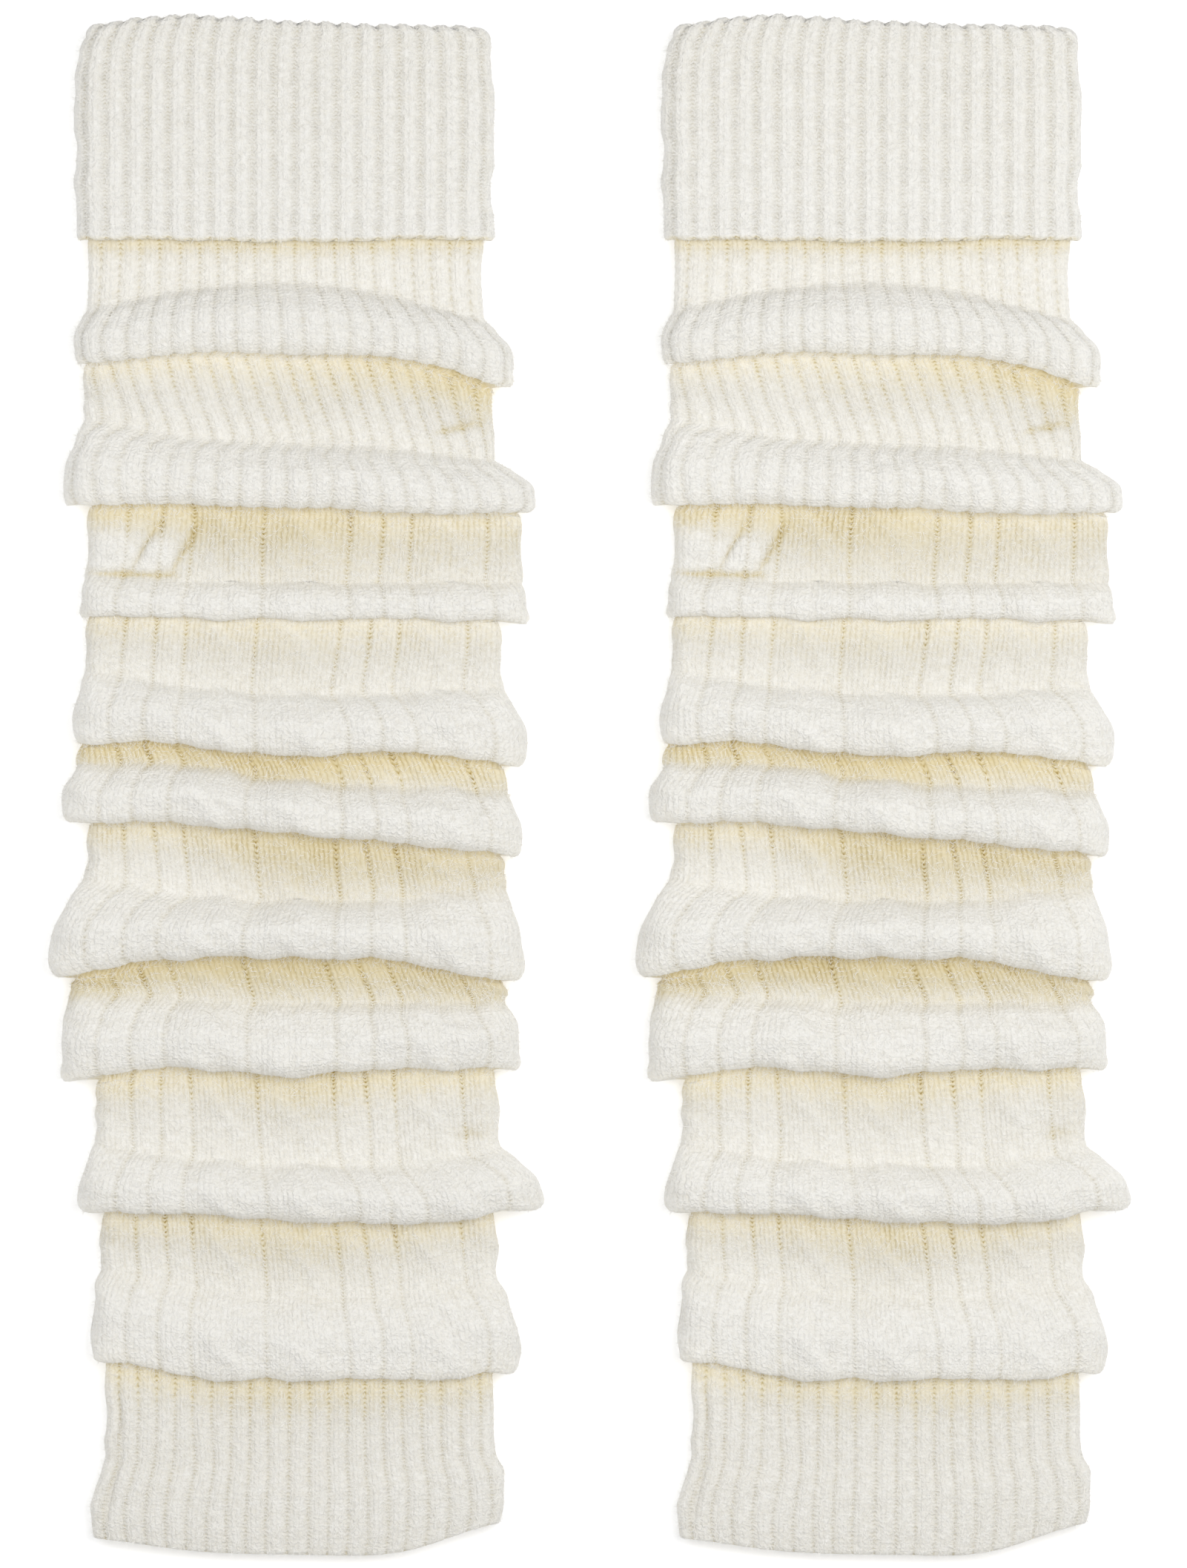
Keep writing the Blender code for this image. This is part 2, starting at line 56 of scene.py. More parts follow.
# The yarn: brushed ivory acrylic, about 1.5 mm thick, worked on 84 stitches across each face.
# Stitches are charted on the cloth itself, one wale across and one course down for each unit, so
# they follow every fold. Where the cloth lies in a fold's shade the ivory is painted darker and
# warm cream along SHADE_COLOURS: painted shade.
WALES_ACROSS = 84
COURSE = 1.35
YARN_HEIGHT = 0.55                 # how far a stitch stands out of the gaps round it
PLAIN_GAP = 0.4                    # how clear the gaps are on the plain side, against the purl side
WANDER_SIZE = 2.2                  # lumps over which the stitches stray from their chart
PATCH_SIZE = 14.0                  # patches where the stitches show more or less clearly
CURL_SIZE = 1.9                    # brushed yarn that curls over the stitches
FIBRE_SIZE = 0.35
# Painted shade: the yarn's colour from open light (0) to the deepest painted shade (1)
SHADE_COLOURS = (
    (0.00, (0.882, 0.868, 0.829)),
    (0.30, (0.815, 0.791, 0.727)),
    (0.65, (0.778, 0.731, 0.604)),
    (1.00, (0.738, 0.674, 0.500)),
)
PAINTED_GLOW = 0.26                  # painted light: how strongly the yarn glows in its own colour, under a lip and inside

# A stitch: its legs lean by this many courses for each wale, and dip by this share of its height
# between one V and the next. A purl bar bends by a part of a course.
LEG_LEAN = 0.9
LEG_DIP = 0.35
BAR_BEND = 0.16
GAP_SHARPNESS = 1.5

# How the yarn takes light, and how far its stitches stray, in stitches
ROUGHNESS, SPECULAR, SHEEN, SHEEN_ROUGHNESS = 0.92, 0.25, 0.5, 0.5
WALE_STRAY, COURSE_STRAY = 0.45, 0.6
PATCH_RANGE = 2.0
CURL_SHARPNESS = 5.0

# Colour, with painted shade. The open share of a groove's painted cream and depth is what it
# still has out of a fold's shade.
PURL_SHADE = 0.14                  # painted shade on the sunken purl side, darker and creamer
MOTTLE = 0.25                      # how uneven the cream is
GROOVE_SHARPNESS = 1.5
DOT_GAP, DOT_BETWEEN = 2.2, 0.15   # how strong a groove's painted shade is in the stitches' gaps, and between them
GROOVE_SHADE = 0.30                # painted shade in a groove, darker and creamer
OPEN_GROOVE_SHADE = 0.22
OPEN_DEPTH = 0.35
CURL_COVER, COVER_LOST = 0.7, 0.5  # how far curls hide the gaps, and how much less in full shade

# Relief, as shares of the yarn's height
STITCH_RELIEF, FIBRE_RELIEF = 0.8, 0.5
CURL_RELIEF, CURL_RELIEF_LOST = 0.9, 0.8
BUMP_STRENGTH = 0.55


def link_math(tree, operation, *values):
    """A Math node whose inputs are numbers or other nodes' outputs. Gives back its output."""
    node = tree.nodes.new("ShaderNodeMath")
    node.operation = operation
    for socket, value in zip(node.inputs, values):
        if isinstance(value, bpy.types.NodeSocket):
            tree.links.new(value, socket)
        else:
            socket.default_value = value
    return node.outputs[0]


def stitch_group():
    """Height of a knitted stitch, and the gaps between the yarns, from its wale and course."""
    group = bpy.data.node_groups.new("knitted_stitch", "ShaderNodeTree")
    for name in ("Wale", "Course", "Purl"):
        group.interface.new_socket(name=name, in_out="INPUT", socket_type="NodeSocketFloat")
    for name in ("Height", "Gap"):
        group.interface.new_socket(name=name, in_out="OUTPUT", socket_type="NodeSocketFloat")
    wale, course, purl = group.nodes.new("NodeGroupInput").outputs[:3]
    outputs = group.nodes.new("NodeGroupOutput").inputs
    turn = 2 * math.pi

    # Plain side: each wale is a column of Vs
    from_middle = link_math(group, "ABSOLUTE", link_math(
        group, "SUBTRACT", link_math(group, "FRACT", wale), 0.5))
    along = link_math(group, "MULTIPLY_ADD", from_middle, LEG_LEAN, course)
    leg = link_math(group, "MULTIPLY_ADD", link_math(
        group, "COSINE", link_math(group, "MULTIPLY", along, turn)), 0.5, 0.5)
    yarn = link_math(group, "COSINE", link_math(group, "MULTIPLY", from_middle, math.pi))
    plain = link_math(group, "MULTIPLY", yarn, link_math(
        group, "MULTIPLY_ADD", leg, LEG_DIP, 1 - LEG_DIP))

    # Purl side: rows of short bars
    wave = link_math(group, "COSINE", link_math(group, "MULTIPLY", wale, turn))
    bar_place = link_math(group, "MULTIPLY_ADD", wave, BAR_BEND, course)
    bar = link_math(group, "ABSOLUTE", link_math(
        group, "COSINE", link_math(group, "MULTIPLY", bar_place, math.pi)))

    difference = link_math(group, "SUBTRACT", bar, plain)
    height = link_math(group, "MULTIPLY_ADD", difference, purl, plain)
    hollow = link_math(group, "POWER", link_math(group, "SUBTRACT", 1.0, height),
                       GAP_SHARPNESS)
    gap = link_math(group, "MULTIPLY", hollow, link_math(
        group, "MULTIPLY_ADD", purl, 1.0 - PLAIN_GAP, PLAIN_GAP))
    group.links.new(height, outputs["Height"])
    group.links.new(gap, outputs["Gap"])
    return group


STITCH = stitch_group()


def noise_node(tree, place, size, detail):
    """Noise from 0 to 1 whose lumps are the given size across."""
    node = tree.nodes.new("ShaderNodeTexNoise")
    tree.links.new(place, node.inputs["Vector"])
    node.inputs["Scale"].default_value = 1 / (size * MM)
    node.inputs["Detail"].default_value = detail
    return node.outputs["Fac"]


def attribute_node(tree, name):
    """A value that the piece's own points carry."""
    node = tree.nodes.new("ShaderNodeAttribute")
    node.attribute_name = name
    return node.outputs["Fac"]


def knit_material(name, groove_strength, gap_strength, curl_shade):
    """Brushed yarn in the stitches of the piece's own chart. The strengths say how much painted
    shade deepens its colour in the grooves, in the gaps between stitches, and between the curls."""
    material = bpy.data.materials.new(name)
    material.use_nodes = True
    material.cycles.emission_sampling = "NONE"
    tree = material.node_tree
    shader = tree.nodes["Principled BSDF"]
    shader.inputs["Roughness"].default_value = ROUGHNESS
    shader.inputs["Specular IOR Level"].default_value = SPECULAR
    shader.inputs["Sheen Weight"].default_value = SHEEN
    shader.inputs["Sheen Roughness"].default_value = SHEEN_ROUGHNESS

    place = tree.nodes.new("ShaderNodeTexCoord").outputs["Object"]
    strays = noise_node(tree, place, WANDER_SIZE, 0.0)
    curls = noise_node(tree, place, CURL_SIZE, 1.0)
    fibre = noise_node(tree, place, FIBRE_SIZE, 0.0)
    patches = noise_node(tree, place, PATCH_SIZE, 0.0)
    patch = link_math(tree, "MULTIPLY", patches, PATCH_RANGE)
    from_curl = link_math(tree, "ABSOLUTE", link_math(tree, "MULTIPLY_ADD", curls, 2.0, -1.0))
    curl = link_math(tree, "POWER", link_math(tree, "SUBTRACT", 1.0, from_curl), CURL_SHARPNESS)
    chart = tree.nodes.new("ShaderNodeUVMap")
    chart.uv_map = "stitches"
    split = tree.nodes.new("ShaderNodeSeparateXYZ")
    tree.links.new(chart.outputs["UV"], split.inputs["Vector"])
    wander = link_math(tree, "SUBTRACT", strays, 0.5)
    stray = link_math(tree, "SUBTRACT", curls, 0.5)
    wale = link_math(tree, "MULTIPLY_ADD", wander, WALE_STRAY, split.outputs["X"])
    course = link_math(tree, "MULTIPLY_ADD", stray, COURSE_STRAY, split.outputs["Y"])
    stitch = tree.nodes.new("ShaderNodeGroup")
    stitch.node_tree = STITCH
    tree.links.new(wale, stitch.inputs["Wale"])
    tree.links.new(course, stitch.inputs["Course"])
    tree.links.new(attribute_node(tree, "purl"), stitch.inputs["Purl"])

    # Colour with painted shade: ivory to darker cream in a fold's shade, and painted shade deeper
    # in the grooves and between the yarns
    shade = attribute_node(tree, "shade")
    ramp = tree.nodes.new("ShaderNodeValToRGB")
    stops = ramp.color_ramp.elements
    for number, (position, colour) in enumerate(SHADE_COLOURS):
        stop = stops[number] if number < 2 else stops.new(position)
        stop.position = position
        stop.color = (*colour, 1.0)
    purl_shaded = link_math(tree, "MULTIPLY_ADD", attribute_node(tree, "purl"), PURL_SHADE, shade)
    mottled = link_math(tree, "MULTIPLY_ADD", wander, MOTTLE, purl_shaded)
    groove = link_math(tree, "POWER", attribute_node(tree, "groove"), GROOVE_SHARPNESS)
    dotted = link_math(tree, "MULTIPLY", groove, link_math(
        tree, "MULTIPLY_ADD", stitch.outputs["Gap"], DOT_GAP, DOT_BETWEEN))
    # Painted shade in the grooves: a step along the shade colours, more of it in a fold's shade
    cream = link_math(tree, "MULTIPLY_ADD", shade, GROOVE_SHADE, OPEN_GROOVE_SHADE * GROOVE_SHADE)
    shade_fac = link_math(tree, "MULTIPLY_ADD", dotted, cream, mottled)
    tree.links.new(shade_fac, ramp.inputs["Fac"])
    covered = link_math(tree, "MULTIPLY_ADD", shade, -COVER_LOST, CURL_COVER)
    under_curls = link_math(tree, "SUBTRACT", 1.0, link_math(tree, "MULTIPLY", curl, covered))
    open_gap = link_math(tree, "MULTIPLY", stitch.outputs["Gap"], under_curls)
    gap_depth = link_math(tree, "MULTIPLY", open_gap, link_math(
        tree, "MULTIPLY_ADD", shade, gap_strength, OPEN_DEPTH * gap_strength))
    groove_depth = link_math(tree, "MULTIPLY", dotted, link_math(
        tree, "MULTIPLY_ADD", shade, groove_strength, OPEN_DEPTH * groove_strength))
    both = link_math(tree, "MULTIPLY", patch, link_math(tree, "ADD", gap_depth, groove_depth))
    depth = link_math(tree, "MULTIPLY_ADD", under_curls, curl_shade, both)
    shade_gamma = tree.nodes.new("ShaderNodeGamma")
    tree.links.new(ramp.outputs["Color"], shade_gamma.inputs["Color"])
    tree.links.new(link_math(tree, "ADD", depth, 1.0), shade_gamma.inputs["Gamma"])
    tree.links.new(shade_gamma.outputs["Color"], shader.inputs["Base Color"])
    # Painted light: the yarn glows in its own colour, as strongly as its glow attribute says
    tree.links.new(shade_gamma.outputs["Color"], shader.inputs["Emission Color"])
    tree.links.new(link_math(tree, "MULTIPLY", attribute_node(tree, "glow"), PAINTED_GLOW),
                   shader.inputs["Emission Strength"])

    # Relief: the stitches, with curls of brushed yarn over them where they lie open, and fibres
    fuzzy = link_math(tree, "MULTIPLY_ADD", shade, -CURL_RELIEF_LOST, CURL_RELIEF)
    curled = link_math(tree, "MULTIPLY_ADD", curl, fuzzy, link_math(
        tree, "MULTIPLY", stitch.outputs["Height"], STITCH_RELIEF))
    height = link_math(tree, "MULTIPLY_ADD", fibre, FIBRE_RELIEF, curled)
    bump = tree.nodes.new("ShaderNodeBump")
    bump.inputs["Strength"].default_value = BUMP_STRENGTH
    bump.inputs["Distance"].default_value = YARN_HEIGHT * MM
    tree.links.new(height, bump.inputs["Height"])
    tree.links.new(bump.outputs["Normal"], shader.inputs["Normal"])
    return material


CUFF_KNIT = knit_material("cuff_knit", groove_strength=0.3, gap_strength=1.1, curl_shade=0.4)
RIB_KNIT = knit_material("rib_knit", groove_strength=0.1, gap_strength=1.0, curl_shade=0.5)
CABLE_KNIT = knit_material("cable_knit", groove_strength=0.7, gap_strength=1.2, curl_shade=0.55)
FUZZ = bpy.data.materials.new("fuzz")
FUZZ.use_nodes = True
FUZZ_SHADER = FUZZ.node_tree.nodes["Principled BSDF"]
FUZZ_SHADER.inputs["Base Color"].default_value = (0.90, 0.885, 0.845, 1)
FUZZ_SHADER.inputs["Roughness"].default_value = 1.0


# The tube: one leg warmer's cloth, laid flat and pushed together into nine folds that overhang the
# cloth below them. Each level down the cloth is a flat oval. Lines across the front are given at
# five places from the left side to the right one, as drops from the top of the cuff.
TOP_Y = 259.0
WALL = 2.3
SIDE_HEIGHT = 0.44                 # where the sides are widest, as a share of the tube's height
NECK_HEIGHT = 7.8
GROOVE = 1.2                       # how far the underside lifts behind a lip
DROOP = 0.10                       # how much lower a fold is at its ends
SIDE_FADE = 8                      # higher keeps what happens at the sides closer to them
LONG_NECK = 14.0                   # a neck that shows over more than this has a level of its own

# Soft unevenness of the cloth: how far it goes, and how large its lumps are each way. The wales
# wander round the tube, by a share of its front.
SIDE_BUMPS, SIDE_BUMP_SIZE = 0.8, (5.0, 0.7)
FOLD_STRAY, FOLD_STRAY_SIZE = 1.3, (13.0, 40.0)
LUMPS, LUMP_SIZE = 0.8, (17.0, 11.0)
PUCKERS, PUCKER_SIZE = 0.25, (4.0, 3.0)
WANDER, WANDER_LUMPS = 0.006, (12.0, 22.0)

# Foot and lip are a fold's upper and lower edge. Neck is the flat tube above the fold. The tuck
# is how far the cloth runs back up under the lip, the slant is how far the wales lean to the
# right across the neck. The shade is how much painted shade, darker and creamer, the cloth has
# below the lip, and the reach how far down that goes.
Fold = namedtuple("Fold", "foot lip left right neck_left neck_right height tuck slant shade reach")
FOLDS = (
    Fold((96.5, 90.5, 88.0, 92.2, 100.5), (115.5, 112.5, 113.0, 114.0, 123.5),
         -74.5, 73.0, -69.6, 62.2, 17.5, 7.0, 0.0,
         (0.33, 0.35, 0.35, 0.65, 0.88), (9.0, 11.0, 18.0, 13.0, 12.0)),
    Fold((134.5, 140.5, 142.5, 144.2, 148.5), (163.2, 163.8, 164.5, 166.0, 165.5),
         -78.2, 80.5, -71.0, 65.4, 19.0, 7.5, 8.5,
         (0.70, 0.66, 0.62, 0.46, 0.38), (8.0, 16.0, 22.0, 22.0, 20.0)),
    Fold((188.0, 189.5, 190.2, 190.0, 189.8), (200.5, 201.0, 201.8, 201.8, 202.5),
         -72.0, 76.5, -69.4, 74.2, 14.0, 4.5, -1.5,
         (0.40, 0.35, 0.35, 0.30, 0.25), (10.0, 15.0, 20.0, 18.0, 15.0)),
    Fold((219.8, 224.8, 227.2, 227.2, 224.8), (243.5, 244.2, 247.5, 246.5, 251.0),
         -74.0, 76.2, -69.4, 67.0, 18.5, 7.5, -2.5,
         (0.90, 1.00, 1.00, 0.90, 0.65), (9.0, 10.0, 14.0, 12.0, 12.0)),
    Fold((251.0, 251.5, 256.8, 258.5, 259.8), (270.0, 270.5, 273.5, 277.2, 281.2),
         -77.5, 74.5, -72.4, 68.6, 20.0, 7.5, 3.5,
         (0.50, 0.55, 0.78, 0.75, 0.62), (10.0, 12.0, 22.0, 19.0, 16.0)),
    Fold((289.8, 295.0, 297.2, 296.5, 292.2), (322.5, 316.5, 315.8, 317.5, 323.5),
         -81.7, 75.0, -69.2, 68.5, 20.5, 7.5, 2.5,
         (0.95, 0.95, 0.95, 0.85, 0.70), (11.0, 11.0, 15.0, 14.0, 13.0)),
    Fold((327.5, 330.0, 331.5, 331.5, 331.0), (357.0, 353.0, 355.5, 353.5, 353.5),
         -78.0, 74.2, -74.8, 68.6, 18.5, 7.5, 4.5,
         (0.50, 0.55, 0.64, 0.56, 0.50), (9.0, 11.0, 13.0, 11.0, 11.0)),
    Fold((379.0, 384.0, 386.0, 386.0, 381.0), (401.0, 402.0, 404.8, 405.0, 400.5),
         -71.8, 81.5, -66.6, 66.0, 18.0, 7.0, 1.5,
         (0.48, 0.52, 0.58, 0.52, 0.50), (11.0, 13.0, 16.0, 12.0, 11.0)),
    Fold((421.0, 427.2, 429.8, 428.5, 424.8), (452.0, 457.2, 458.0, 458.0, 456.0),
         -67.8, 73.8, -64.5, 65.6, 15.5, 6.5, 2.0,
         (0.54, 0.54, 0.54, 0.52, 0.50), (9.0, 10.0, 12.0, 11.0, 10.0)),
)
RIB_FOLDS = 2
# Painted shade below the cuff's edge, and how far down it reaches
CUFF_SHADE, CUFF_REACH = (0.52, 0.56, 0.60, 0.58, 0.52), (5.0, 5.0, 5.0, 5.0, 5.0)
FAINT_SHADE = 0.12                 # how much painted shade a neck still has, far from a lip
LIP_SHADE = 0.30                   # and on a lip

# The steps of one fold, down its front. Run is the share of the way from foot to lip, and back,
# behind and beside are how much of the tuck the cloth has gone back up in front, on the
# underside and at the sides. The rest are shares of the fold's height, side bulge, underside
# groove, knitted relief and painted glow, painted light that lights the cloth under the lip.
Step = namedtuple("Step", "name run back behind beside rise bulge groove relief glow")
FOLD_STEPS = (
    Step("foot", 0.00, 0.00, 0.00, 0.00, 0.10, 0.08, 0.10, 1.0, 0.20),
    Step("shoulder", 0.24, 0.00, 0.00, 0.00, 0.60, 0.50, 0.00, 1.0, 0.05),
    Step("crest", 0.58, 0.00, 0.12, 0.00, 1.00, 0.92, 0.00, 1.0, 0.00),
    Step("brow", 0.90, 0.00, 0.45, 0.00, 0.84, 1.00, 0.00, 1.0, 0.20),
    Step("lip", 1.00, 0.00, 0.62, 0.00, 0.52, 0.86, 0.30, 0.8, 0.80),
    Step("under", 1.00, 0.38, 0.50, -0.04, 0.27, 0.40, 0.75, 0.4, 1.00),
    Step("tuck", 1.00, 1.00, 0.40, -0.09, 0.13, 0.05, 1.00, 0.1, 1.00),
    Step("seam", 1.00, 0.30, 0.30, -0.15, 0.00, 0.00, 1.00, 0.3, 1.00),
    Step("neck", 1.00, -0.16, -0.12, -0.24, 0.00, 0.00, 0.80, 0.9, 0.90),
)
MIDDLE_GLOW = 0.05
BELOW_LIP = ("under", "tuck", "seam", "neck")

# Plain levels of the tube: above the first fold, and from the ninth fold to the hem
Plain = namedtuple("Plain", "line left right height lift relief glow")
CUFF_EDGE = (74.4, 74.2, 74.8, 74.0, 73.8)
CUFF_LAYER_GAP = 0.8
CUFF_INSET = WALL + CUFF_LAYER_GAP
CUFF_LEFT, CUFF_RIGHT = -74.4, 66.0
CUFF_HEIGHT = 13.0
CUFF_SEAM = 62.0
HIDDEN_LEVELS = (
    Plain((CUFF_SEAM,) * 5, CUFF_LEFT + CUFF_INSET, CUFF_RIGHT - CUFF_INSET,
          CUFF_HEIGHT - CUFF_INSET, CUFF_INSET, 0.0, 1.0),
    Plain((72.0,) * 5, -70.8, 63.0, 9.2, 3.0, 0.0, 1.0),
    Plain((78.0,) * 5, -69.9, 62.4, 8.4, 2.2, 0.8, 0.3),
)
ANKLE_LEVELS = (
    Plain((467.5, 468.0, 468.5, 468.0, 466.5), -64.4, 65.7, 7.6, 0.3, 1.0, 0.1),
    Plain((485.0, 486.0, 486.5, 486.0, 483.0), -64.6, 66.6, 8.0, 0.0, 1.0, 0.0),
    Plain((495.0, 497.0, 498.0, 496.5, 491.5), -67.6, 69.3, 9.2, 0.0, 1.0, 0.0),
    Plain((504.5, 507.8, 508.9, 507.2, 500.5), -69.2, 69.6, 9.0, 0.0, 1.0, 0.0),
    Plain((512.6, 516.8, 518.0, 517.3, 507.6), -68.4, 68.2, 8.0, 0.0, 1.0, 0.0),
)

# Each level is a row of numbers, so that levels can be blended
LINE = slice(0, 5)
PULL, PULL_BEHIND, PULL_BESIDE, LEFT, RIGHT, HEIGHT, LIFT, SLANT, RELIEF, GLOW = range(5, 15)
SHADE_FROM, SHADE, REACH = slice(15, 20), slice(20, 25), slice(25, 30)


def fold_level(fold, neck, step, shades):
    """The level of the tube at one step of a fold, with the line that its shade starts from."""
    foot, lip = np.array(fold.foot), np.array(fold.lip)
    line = foot + step.run * (lip - foot)
    pulls = [share * fold.tuck for share in (step.back, step.behind, step.beside)]
    left = neck.neck_left + step.bulge * (fold.left - neck.neck_left)
    right = neck.neck_right + step.bulge * (fold.right - neck.neck_right)
    height = NECK_HEIGHT + step.rise * (fold.height - NECK_HEIGHT)
    return np.array([*line, *pulls, left, right, height, step.groove * GROOVE, 0.0,
                     step.relief, step.glow, *shades])


def leg_levels():
    """All levels from under the cuff to the hem, each with the name of its step."""
    def plain_level(plain):
        return np.array([*plain.line, 0.0, 0.0, 0.0, plain.left, plain.right, plain.height,
                         plain.lift, 0.0, plain.relief, plain.glow, *shades])
    shades = (*CUFF_EDGE, *CUFF_SHADE, *CUFF_REACH)
    levels = [("plain", plain_level(plain)) for plain in HIDDEN_LEVELS]
    ankle = FOLDS[-1]._replace(neck_left=ANKLE_LEVELS[0].left, neck_right=ANKLE_LEVELS[0].right,
                               slant=0.0)
    for fold, below in zip(FOLDS, FOLDS[1:] + (ankle,)):
        for step in FOLD_STEPS:
            if step.name in BELOW_LIP:
                shades = (*fold.lip, *fold.shade, *fold.reach)
            made = fold_level(fold, below if step.name in BELOW_LIP else fold, step, shades)
            if step.name == "foot":
                made[SLANT] = 0.5 * fold.slant
            if step.name == "neck":
                made[SLANT] = -0.5 * below.slant
            levels.append((step.name, made))
        if below is not ankle and below.foot[2] - fold.lip[2] > LONG_NECK:
            middle = 0.5 * (made + fold_level(below, below, FOLD_STEPS[0], shades))
            middle[SLANT] = 0.0
            middle[LIFT] = 0.0
            middle[GLOW] = MIDDLE_GLOW
            levels.append(("middle", middle))
    levels.extend(("plain", plain_level(plain)) for plain in ANKLE_LEVELS)
    names, rows = zip(*levels)
    return names, np.array(rows)


STEP_NAMES, LEVELS = leg_levels()


def slopes(places, rows):
    """Slopes for a smooth curve through the rows that never runs past them."""
    gaps = np.diff(places)[:, None]
    rates = np.diff(rows, axis=0) / gaps
    before, after = rates[:-1], rates[1:]
    weight_before = 2 * gaps[1:] + gaps[:-1]
    weight_after = gaps[1:] + 2 * gaps[:-1]
    with np.errstate(divide="ignore", invalid="ignore"):
        mean = (weight_before + weight_after) / (weight_before / before + weight_after / after)
    inner = np.where(before * after > 0, mean, 0.0)
    return np.vstack([rates[:1], inner, rates[-1:]])


# A knot is how far down the cloth a level is, measured along the middle of the front
MIDDLE_PATH = np.stack([LEVELS[:, 2] - LEVELS[:, PULL], LEVELS[:, HEIGHT]], axis=1)
KNOTS = np.concatenate([[0.0], np.cumsum(np.linalg.norm(np.diff(MIDDLE_PATH, axis=0), axis=1))])
SLOPES = slopes(KNOTS, LEVELS)


def blend_levels(down):
    """The tube's numbers at the given lengths down the cloth."""
    down = np.clip(down, KNOTS[0], KNOTS[-1])
    start = np.clip(np.searchsorted(KNOTS, down, side="right") - 1, 0, len(KNOTS) - 2)
    gap = (KNOTS[start + 1] - KNOTS[start])[..., None]
    t = (down - KNOTS[start])[..., None] / gap
    return ((2 * t**3 - 3 * t**2 + 1) * LEVELS[start] + (t**3 - 2 * t**2 + t) * gap * SLOPES[start]
            + (3 * t**2 - 2 * t**3) * LEVELS[start + 1] + (t**3 - t**2) * gap * SLOPES[start + 1])


def read_line(lines, across):
    """Read five-place lines at a share across the front, -1 at the left and 1 at the right."""
    place = np.clip((across + 1) * 2, 0, 4)
    first = np.minimum(place.astype(int), 3)
    t = place - first
    weights = (0.5 * (-t + 2 * t**2 - t**3), 0.5 * (2 - 5 * t**2 + 3 * t**3),
               0.5 * (t + 4 * t**2 - 3 * t**3), 0.5 * (t**3 - t**2))
    total = 0.0
    for offset, weight in enumerate(weights):
        column = np.clip(first + offset - 1, 0, 4)
        total = total + weight * np.take_along_axis(lines, column[..., None], axis=-1)[..., 0]
    return total


def section(around, left, right, height, lift):
    """A flat tube's section: X, Z and how far each point faces up (1) or down (0)."""
    front = around <= 1
    share = np.where(front, around, 2 - around)
    side = lift + SIDE_HEIGHT * (height - lift)
    radius = np.where(front, height - side, side - lift)
    corner = 0.5 * math.pi * radius
    total = right - left - 2 * radius + 2 * corner
    run = share * total
    turn_left = np.clip(run / radius, 0, 0.5 * math.pi)
    turn_right = np.clip((total - run) / radius, 0, 0.5 * math.pi)
    on_flat = np.clip(run - corner, 0, total - 2 * corner)
    x = left + radius * (1 - np.cos(turn_left)) + on_flat + radius * np.cos(turn_right)
    rise = radius * np.minimum(np.sin(turn_left), np.sin(turn_right))
    z = np.where(front, side + rise, side - rise)
    return x, z, 0.5 + 0.5 * np.where(front, rise, -rise) / radius


def uneven(first, second, sizes, seed):
    """Soft random unevenness from -1 to 1 over two lengths, with lumps of the given sizes."""
    table = np.random.default_rng(seed).uniform(-1, 1, (64, 64))
    u, v = first / sizes[0], second / sizes[1]
    i, j = np.floor(u).astype(int), np.floor(v).astype(int)
    s, t = u - i, v - j
    s, t = s * s * (3 - 2 * s), t * t * (3 - 2 * t)

    def at(di, dj):
        return table[(i + di) % 64, (j + dj) % 64]
    return ((at(0, 0) * (1 - s) + at(1, 0) * s) * (1 - t)
            + (at(0, 1) * (1 - s) + at(1, 1) * s) * t)


# Soft troughs and ridges, listed one by one: where each starts and ends (across from the middle and
# drop from the top), how wide it is, how high it stands (a trough is below zero) and its shade
Crease = namedtuple("Crease", "start end width height shade")
CREASE_END = 0.35                  # how high a crease still is at its ends
CREASE_HIDDEN = 0.8                # twice the knitted relief at which creases are gone
CREASES = (
    Crease((-58, 174.0), (-64, 182.0), 5.0, 2.6, -0.45),
    Crease((-43, 174.0), (-50, 183.0), 4.5, 2.6, -0.45),
    Crease((-46, 169.5), (-56, 186.0), 1.1, -1.4, 0.7),
    Crease((-32, 169.0), (-43, 187.5), 1.3, -1.4, 0.7),
    Crease((-69, 186.8), (-40, 187.6), 1.4, -1.6, 0.9),
    Crease((47, 139.5), (62, 136.0), 1.3, -1.2, 0.6),
    Crease((44, 129.0), (62, 127.0), 4.5, 1.4, -0.1),
    Crease((44, 367.0), (55, 365.5), 5.0, 1.3, -0.1),
    Crease((54, 376.0), (65, 375.0), 2.5, -0.6, 0.3),
    Crease((-61, 458), (-59, 482), 1.2, -1.2, 0.1),
    Crease((-59, 482), (-65, 511), 1.3, -1.5, 0.1),
    Crease((-50, 262), (-28, 259), 3.5, 0.9, 0.0),
    Crease((2, 263), (22, 261), 3.5, 0.9, 0.0),
    Crease((-48, 304), (-30, 301), 3.5, 0.8, 0.0),
    Crease((-2, 305), (16, 302), 3.5, 0.8, 0.0),
    Crease((-6, 351), (6, 353), 4.0, 0.9, 0.0),
)


